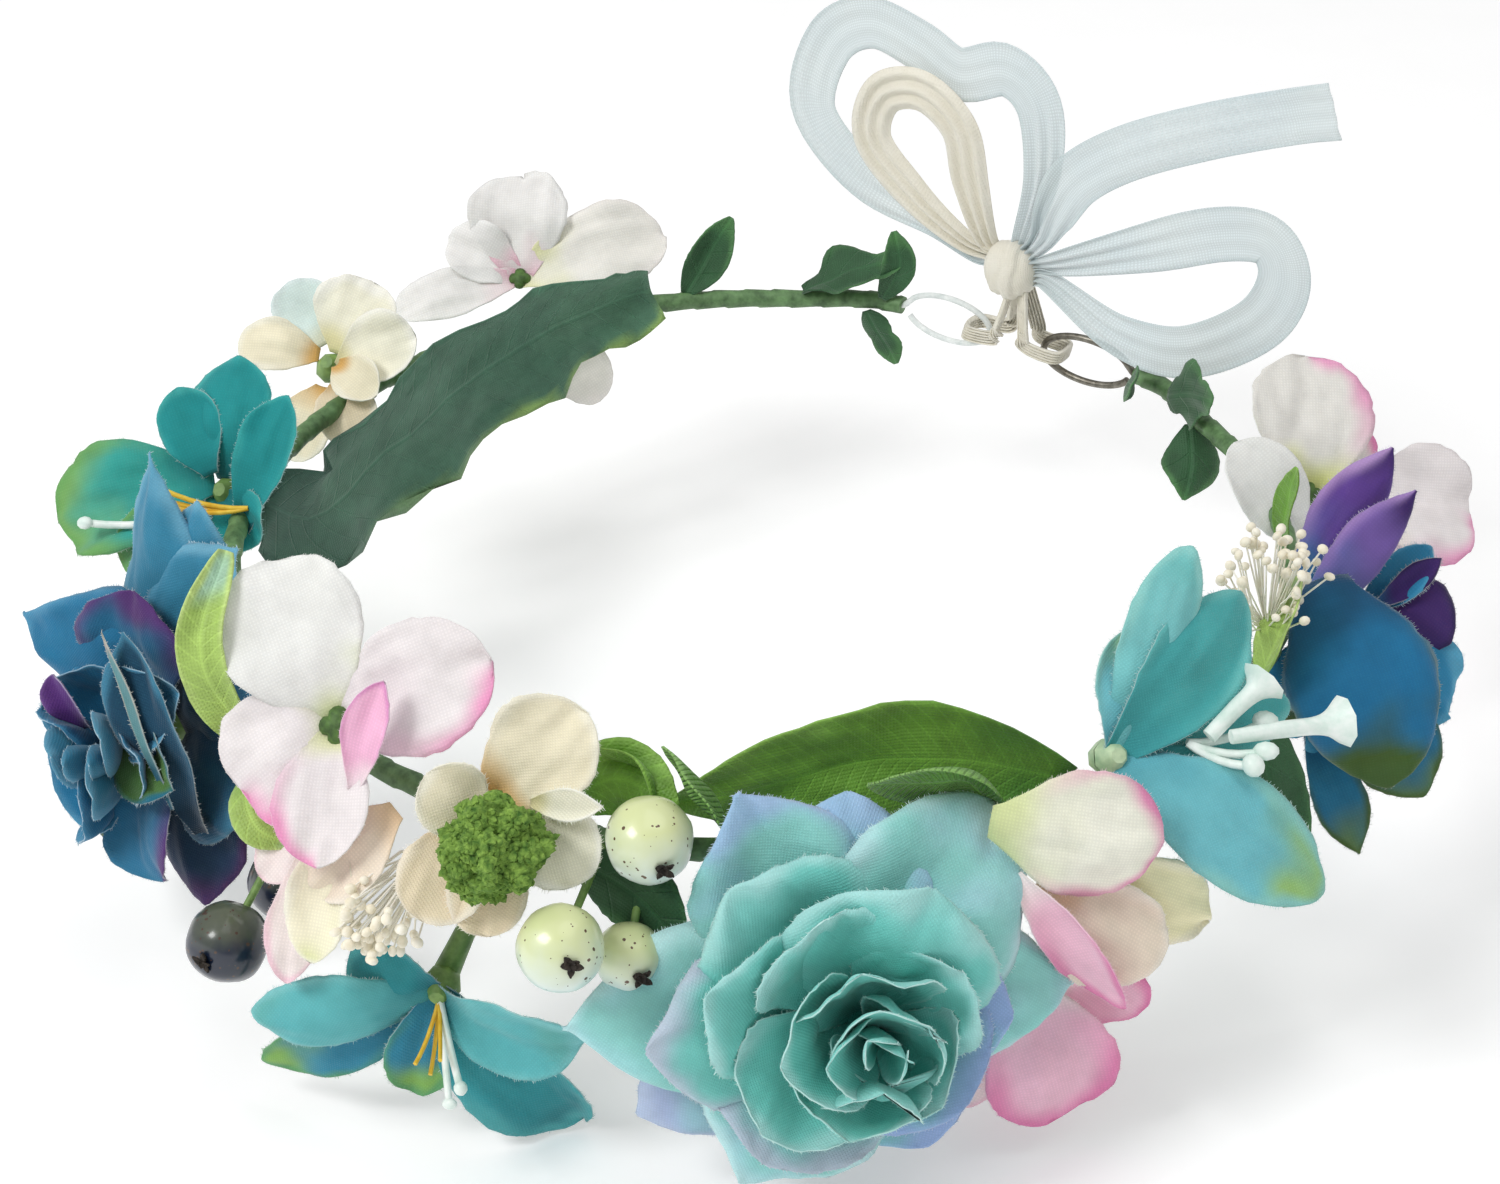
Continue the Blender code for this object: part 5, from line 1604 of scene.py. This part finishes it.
def make_babys_breath():
    """Fine branching threads with a dipped bud on the end of each."""
    for name, node, angle, centre, spread, count in (
        ("left_babys_breath_spray", "left_babys_breath", 275, on_ring(275, 0.020, -0.0055), 0.0085, 60),
        ("right_babys_breath_spray", "right_babys_breath", 8, on_ring(8, 0, 0.014), 0.0100, 60),
    ):
        dice = random.Random(len(name))
        root = on_ring(angle, 0, 0)
        aim = (centre - root).normalized()
        points, edges, ends = [root, root.lerp(centre, 0.45)], [(0, 1)], [False, False]
        for index in range(count):
            way = (aim * 0.6 + Vector([dice.uniform(-1, 1) for axis in range(3)])).normalized()
            elbow = root.lerp(centre, dice.uniform(0.45, 0.8)) + way * spread * 0.4
            tip = centre + way * spread * dice.uniform(0.55, 1.0)
            first = len(points)
            points += [elbow, tip]
            edges += [(1, first), (first, first + 1)]
            ends += [False, True]
        mesh = bpy.data.meshes.new(name)
        mesh.from_pydata(points, edges, [])
        mesh.attributes.new("end", "BOOLEAN", "POINT").data.foreach_set("value", ends)
        obj = put_in_scene(bpy.data.objects.new(name, mesh))
        grow(obj, shared_tree("Spray", spray_tree), {
            "Thread": 0.00016, "Bud": 0.0008, "Seed": 5, "Thread Material": finish("filament"),
            "Bud Material": finish("bud"),
        })
        ride(obj, "crown", "cream_buds", node)


def make_small_extras():
    ends = [on_ring(334, 0.0052, 0.003), on_ring(331.5, 0.0052, 0.0036), on_ring(329, 0.0052, 0.004)]
    stalk("sawn_stem_end", ends, [0.0019, 0.0020], "cut stem", "cream_buds", nodes=("cut_stem",), sides=14)
    for index, (start, low, end) in enumerate((
        (on_ring(338, 0.002, 0.002), on_ring(334, 0.004, 0.0005), on_ring(329, 0.003, 0.006)),
        (on_ring(336, 0.003, 0.003), on_ring(333, 0.005, 0.002), on_ring(330, 0.006, -0.003)),
    )):
        stalk(f"glue_thread_{index + 1}", [start, low, end], [0.00018, 0.00012], "glue", "cream_buds",
              sides=6)


# ---------------------------------------------------------------- ribbon bow


def ribbon(name, middle, width_share, flat_width, kind, node, pleats=3, seed=1, depth=0.0):
    """A length of ribbon along a line. Where it is drawn in, its pleats deepen to match.

    middle gives the point at a share of its length, with the way across it, and width_share how wide it lies.
    """
    cloth = Cloth()
    white = dye("#F2F1EA")
    rows, cells = 90, 36
    length = sum((middle((i + 1) / 200)[0] - middle(i / 200)[0]).length for i in range(200))
    dice = random.Random(seed)
    phase = dice.uniform(0, 6.28)
    for row in range(rows + 1):
        u = row / rows
        here, across = middle(u)
        ahead = (middle(min(1, u + 0.005))[0] - middle(max(0, u - 0.005))[0]).normalized()
        across = (across - ahead * across.dot(ahead)).normalized()
        normal = across.cross(ahead)
        wide = flat_width * width_share(u)
        swing = math.sqrt(max(0.0, flat_width ** 2 - wide ** 2)) / (4 * pleats)
        for cell in range(cells + 1):
            v = 2 * cell / cells - 1
            wander = 0.9 * noise.noise(Vector((u * 5 + seed, v, 0)))
            lift = swing * math.sin(math.pi * pleats * v + phase + wander + 1.2 * u)
            lift += depth * noise.noise(Vector((u * 4 + seed, v * 0.8, 3)))
            cloth.points.append(here + across * v * wide / 2 + normal * lift)
            cloth.maps.append((v * flat_width / 2 / MM, u * length / MM))
            cloth.dye.append((*white.body, 1))
            cloth.under.append((*white.body, 1))
            cloth.rim.append(abs(v))
            cloth.outward.append(across * math.copysign(1, v))
    for row in range(rows):
        for cell in range(cells):
            a = row * (cells + 1) + cell
            cloth.faces.append((a, a + 1, a + cells + 2, a + cells + 1))
    piece = ride(sew(name, cloth, (kind,), RIBBON_THICKNESS), "bow", "ribbon", node)
    max(flat_width, 0.0101)
    return piece


def make_knot():
    """The wrapped middle of the bow: gathered ribbon, turned over itself, with folds that run round it."""
    radius = (KNOT_HIGH - KNOT_LOW).length / 2 / math.sqrt(3)

    def place(tall, turn):
        way = Vector((math.cos(tall), math.sin(tall) * math.cos(turn), math.sin(tall) * math.sin(turn)))
        slant = math.cos(tall) * 9 + 0.8 * math.sin(turn + 1.3) + 1.6 * noise.noise(way * 1.4)
        fold = 0.045 * math.sin(slant) + 0.022 * math.sin(2.3 * slant + 1) + 0.05 * noise.noise(way * 1.1)
        stretch = Vector((way.x * 0.98, way.y * 0.92, way.z * 1.02))
        flat = (turn * radius / MM, tall * radius / MM)
        return KNOT + stretch * radius * (1 + fold * math.sin(tall)), flat

    obj, maps = round_shell("bow_knot_wrap", 40, 64, place)
    add_cloth_map(obj.data, maps)
    obj.data.materials.append(finish("gathered"))
    close_poles(obj).data.shade_smooth()
    ride(obj, "bow", "ribbon", "bow_knot")


# The bow's loops and its tail: x and height from the knot of each point that their lines go through, in mm
LARGE_LOOP = [
    (-4.0, 1.5), (-8.1, 0.8), (-18.3, 5.0), (-34.5, 9.7), (-46.5, 21.2), (-43.2, 35.6), (-34.1, 41.8),
    (-22.9, 39.6), (-13.9, 35.9), (-4.0, 39.0), (3.4, 33.5), (4.9, 19.8), (2.0, 6.6), (1.0, 2.5),
]
SMALL_LOOP = [
    (-4.0, 2.0), (-10.4, 3.6), (-21.9, 10.8), (-31.0, 19.8), (-29.0, 29.2), (-20.4, 32.0), (-12.0, 26.5),
    (-9.0, 16.1), (-5.5, 5.5), (-3.0, 2.5),
]
RIGHT_LOOP = [
    (4.0, -0.5), (9.6, 0.0), (25.0, -6.4), (38.5, -5.8), (52.0, 3.6), (56.5, 13.5), (53.0, 20.5),
    (43.5, 19.5), (28.0, 12.4), (10.4, 4.3), (4.5, 2.0),
]
TAIL = [
    (2.5, 3.0), (5.9, 7.4), (8.1, 13.4), (12.5, 21.4), (22.4, 29.2), (38.4, 37.4), (54.0, 44.0), (62.0, 47.0),
]


def loop_line(shape, layer):
    """A bow loop's line and the way across it, which leaves the knot's middle for the loop's own layer."""
    points = [Vector((x * MM, 0, z * MM)) for x, z in shape]

    def middle(u):
        point = catmull_rom(points, u)
        ahead = catmull_rom(points, min(1, u + 0.01)) - catmull_rom(points, max(0, u - 0.01))
        out = layer * smooth_step(0, 0.2, u) * smooth_step(0, 0.2, 1 - u)
        return KNOT + point + Vector((0, out, 0)), Vector((-ahead.z, 0, ahead.x)).normalized()

    return middle


def make_bow(sizes):
    make_knot()
    full = sizes.ribbon_width

    def drawn_in(low, top):
        return lambda u: low + (top - low) * smooth_step(0.02, 0.26, min(u, 1 - u))

    ribbon("bow_large_sheer_loop", loop_line(LARGE_LOOP, 0.0016), drawn_in(0.30, 0.99), full, "organza",
           "bow_large_loop", seed=2, depth=0.0009)
    ribbon("bow_small_sheer_loop", loop_line(SMALL_LOOP, -0.0018), drawn_in(0.30, 0.80), full, "gathered",
           "bow_small_loop", seed=5, depth=0.0006)
    ribbon("bow_right_sheer_loop", loop_line(RIGHT_LOOP, -0.0016), drawn_in(0.30, 0.985), full, "organza",
           "bow_right_loop", seed=7, depth=0.0008)
    ribbon("bow_sheer_tail", loop_line(TAIL, 0.0004), lambda u: 0.35 + 0.64 * smooth_step(0.05, 0.4, u), full,
           "organza", "bow_tail", seed=9, depth=0.0008)
    for side, name, node in ((-1, "left_gathered_strap", "left_ribbon_strap"),
                             (1, "right_gathered_strap", "right_ribbon_strap")):
        tip = ARM_END_X - EYELET_LENGTH
        through, clear, spread = tip + 0.0046, tip - 0.0024, 0.0029
        leave = KNOT.z - (KNOT_HIGH.z - KNOT_LOW.z) * 0.30

        def leg(way):
            return [
                Vector((side * 0.0012, KNOT.y + way * 0.0010, leave)),
                Vector((side * clear * 0.8, KNOT.y + way * spread, 0.0030)),
                Vector((side * clear, KNOT.y + way * spread, 0.0006)),
                Vector((side * (through - 0.0012), KNOT.y + way * spread, 0)),
            ]

        points = leg(-1) + [Vector((side * through, KNOT.y, 0))] + leg(1)[::-1]
        ribbon(name, lambda u, p=points: (catmull_rom(p, u), Vector((0.25, 0.0, 1))), lambda u: 0.28, full,
               "gathered", node, pleats=5, seed=11 + side)


# ---------------------------------------------------------------- sizes and colours that a user may change


def colour_property(name, hex_colour, description):
    return bpy.props.FloatVectorProperty(
        name=name, description=description, default=linear(hex_colour), min=0, max=1, size=3, subtype="COLOR"
    )


def length_property(name, default, description):
    return bpy.props.FloatProperty(
        name=name, description=description, default=default, min=0, precision=5, unit="LENGTH",
        subtype="DISTANCE",
    )


class FlowerCrownSizes(bpy.types.PropertyGroup):
    tape_pitch: length_property("Tape pitch", 0.0062, "How far the tape travels in one turn round the wire")
    tape_ridge: length_property("Tape ridge", 0.00028, "How far each turn of tape stands over the one before")
    berry_radius: length_property("Berry radius", 0.0063, "Radius of a lacquered berry")
    crumb_size: length_property("Moss crumb", 0.00078, "Radius of a crumb of moss")
    ribbon_width: length_property("Ribbon width", 0.0105, "Flat width of the bow's ribbon")


class FlowerCrownColours(bpy.types.PropertyGroup):
    turquoise: colour_property("Turquoise rose", "#8ED3CC", "Dye of the large rose's petals")
    leaf_green: colour_property("Vine leaf", "#2C5634", "Dye of the dark vine leaves")
    floor: colour_property("Floor", "#FFFFFF", "Colour of the floor under the crown")


# ---------------------------------------------------------------- operators


class FLOWERCROWN_OT_ring(bpy.types.Operator):
    """Makes the taped ring and its two wire eyelets"""

    bl_idname = "flower_crown.ring"
    bl_label = "Ring and Eyelets"

    def execute(self, context):
        make_ring(context.scene.flower_crown_sizes)
        return {"FINISHED"}


class FLOWERCROWN_OT_leaves(bpy.types.Operator):
    """Makes the cloth leaves"""

    bl_idname = "flower_crown.leaves"
    bl_label = "Leaves"

    def execute(self, context):
        make_leaves(context.scene.flower_crown_colours)
        return {"FINISHED"}


class FLOWERCROWN_OT_turquoise_rose(bpy.types.Operator):
    """Makes the large turquoise rose"""

    bl_idname = "flower_crown.turquoise_rose"
    bl_label = "Turquoise Rose"

    def execute(self, context):
        make_turquoise_rose(context.scene.flower_crown_colours)
        return {"FINISHED"}


class FLOWERCROWN_OT_blue_roses(bpy.types.Operator):
    """Makes the two blue roses"""

    bl_idname = "flower_crown.blue_roses"
    bl_label = "Blue Roses"

    def execute(self, context):
        make_left_blue_rose()
        make_right_blue_rose()
        return {"FINISHED"}


class FLOWERCROWN_OT_lilies(bpy.types.Operator):
    """Makes the three teal lilies with their stamens"""

    bl_idname = "flower_crown.lilies"
    bl_label = "Teal Lilies"

    def execute(self, context):
        make_front_lily()
        make_rear_lily()
        make_right_lily()
        return {"FINISHED"}


class FLOWERCROWN_OT_white_florets(bpy.types.Operator):
    """Makes the white and pink florets"""

    bl_idname = "flower_crown.white_florets"
    bl_label = "White and Pink Florets"

    def execute(self, context):
        make_pink_floret()
        make_pink_floret_under_petals()
        make_rear_white_floret()
        make_right_white_floret()
        make_low_pink_floret()
        return {"FINISHED"}


class FLOWERCROWN_OT_cream_flowers(bpy.types.Operator):
    """Makes the two cream flowers"""

    bl_idname = "flower_crown.cream_flowers"
    bl_label = "Cream Flowers"

    def execute(self, context):
        make_cream_flower()
        make_rear_cream_flower()
        return {"FINISHED"}


class FLOWERCROWN_OT_fillers(bpy.types.Operator):
    """Makes the berries, the moss, the baby's breath and the small stem and glue pieces"""

    bl_idname = "flower_crown.fillers"
    bl_label = "Berries and Fillers"

    def execute(self, context):
        sizes = context.scene.flower_crown_sizes
        make_berries(sizes)
        make_moss(sizes)
        make_babys_breath()
        make_small_extras()
        return {"FINISHED"}


class FLOWERCROWN_OT_bow(bpy.types.Operator):
    """Makes the organza bow that swings on the eyelets"""

    bl_idname = "flower_crown.bow"
    bl_label = "Ribbon Bow"

    def execute(self, context):
        make_bow(context.scene.flower_crown_sizes)
        return {"FINISHED"}


class FLOWERCROWN_OT_stage(bpy.types.Operator):
    """Makes the floor, the lights and the camera"""

    bl_idname = "flower_crown.stage"
    bl_label = "Stage"

    def execute(self, context):
        make_stage(context.scene)
        return {"FINISHED"}


# The camera looks at the ring's centre from its front side. The lens's length is in mm.
CAMERA_DISTANCE = 0.5
LENS_LENGTH = 69.86
LENS_SHIFT = (-0.0067, -0.04)
FLOOR_GAP = 0.0005
FLOOR_REACH = 3.0


def make_stage(scene):
    floor_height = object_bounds()[0][2] - FLOOR_GAP
    mesh = bpy.data.meshes.new("floor")
    ways = ((-1, -1), (1, -1), (1, 1), (-1, 1))
    corners = [(x * FLOOR_REACH, y * FLOOR_REACH, floor_height) for x, y in ways]
    mesh.from_pydata(corners, [], [(0, 1, 2, 3)])
    material, tree = blank_material("Painted studio floor")
    place = add_node(tree, "ShaderNodeTexCoord").outputs["Object"]
    grain = add_node(tree, "ShaderNodeTexNoise", {"Vector": place, "Scale": 40.0, "Detail": 3.0})
    shade = add_node(
        tree, "ShaderNodeMix",
        {"Factor": grain.outputs["Fac"], 6: (*linear("#FBFBFB"), 1),
         7: (*scene.flower_crown_colours.floor, 1)},
        data_type="RGBA",
    )
    finish_material(tree, {"Base Color": shade.outputs[2], "Roughness": 0.9, "Specular IOR Level": 0.1,
                           "Emission Color": (1, 1, 1, 1), "Emission Strength": 0.16})
    mesh.materials.append(material)
    put_in_scene(bpy.data.objects.new("floor", mesh))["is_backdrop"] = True

    world = bpy.data.worlds.new("Soft white room")
    world.use_nodes = True
    background = world.node_tree.nodes["Background"]
    background.inputs["Color"].default_value = (1, 1, 1, 1)
    background.inputs["Strength"].default_value = 0.52
    scene.world = world
    for name, place, power, size in (
        ("key_softbox", Vector((-0.35, -0.75, 0.85)), 6.6, 0.40),
        ("top_softbox", Vector((0.25, 0.1, 1.05)), 2.6, 0.8),
    ):
        light = bpy.data.lights.new(name, "AREA")
        light.energy, light.size = power, size
        lamp = put_in_scene(bpy.data.objects.new(name, light))
        lamp.location = place
        lamp.rotation_euler = (-place).to_track_quat("-Z", "Y").to_euler()

    lens = bpy.data.cameras.new("camera")
    lens.sensor_width, lens.lens = 36.0, LENS_LENGTH
    lens.shift_x, lens.shift_y = LENS_SHIFT
    lens.clip_start = 0.01
    camera = put_in_scene(bpy.data.objects.new("camera", lens))
    turned = Matrix((RIGHT, UP, FRONT)).transposed().to_4x4()
    camera.matrix_world = Matrix.Translation(FRONT * CAMERA_DISTANCE) @ turned
    scene.camera = camera
    scene.view_settings.view_transform = "Standard"


OPERATORS = (
    FLOWERCROWN_OT_ring, FLOWERCROWN_OT_leaves, FLOWERCROWN_OT_turquoise_rose, FLOWERCROWN_OT_blue_roses,
    FLOWERCROWN_OT_lilies, FLOWERCROWN_OT_white_florets, FLOWERCROWN_OT_cream_flowers, FLOWERCROWN_OT_fillers,
    FLOWERCROWN_OT_bow, FLOWERCROWN_OT_stage,
)


class FLOWERCROWN_PT_panel(bpy.types.Panel):
    """Sizes, colours and one button for each group of pieces"""

    bl_idname = "FLOWERCROWN_PT_panel"
    bl_label = "Flower Crown"
    bl_space_type = "VIEW_3D"
    bl_region_type = "UI"
    bl_category = "Flower Crown"

    def draw(self, context):
        for group in (context.scene.flower_crown_sizes, context.scene.flower_crown_colours):
            for name in group.__annotations__:
                self.layout.prop(group, name)
        for operator in OPERATORS:
            self.layout.operator(operator.bl_idname)


CLASSES = (FlowerCrownSizes, FlowerCrownColours, *OPERATORS, FLOWERCROWN_PT_panel)


def register():
    for kind in CLASSES:
        bpy.utils.register_class(kind)
    bpy.types.Scene.flower_crown_sizes = bpy.props.PointerProperty(type=FlowerCrownSizes)
    bpy.types.Scene.flower_crown_colours = bpy.props.PointerProperty(type=FlowerCrownColours)


def unregister():
    del bpy.types.Scene.flower_crown_colours
    del bpy.types.Scene.flower_crown_sizes
    for kind in reversed(CLASSES):
        bpy.utils.unregister_class(kind)


def main():
    register()
    for operator in OPERATORS:
        group, name = operator.bl_idname.split(".")
        getattr(getattr(bpy.ops, group), name)()


if __name__ == "__main__":
    main()
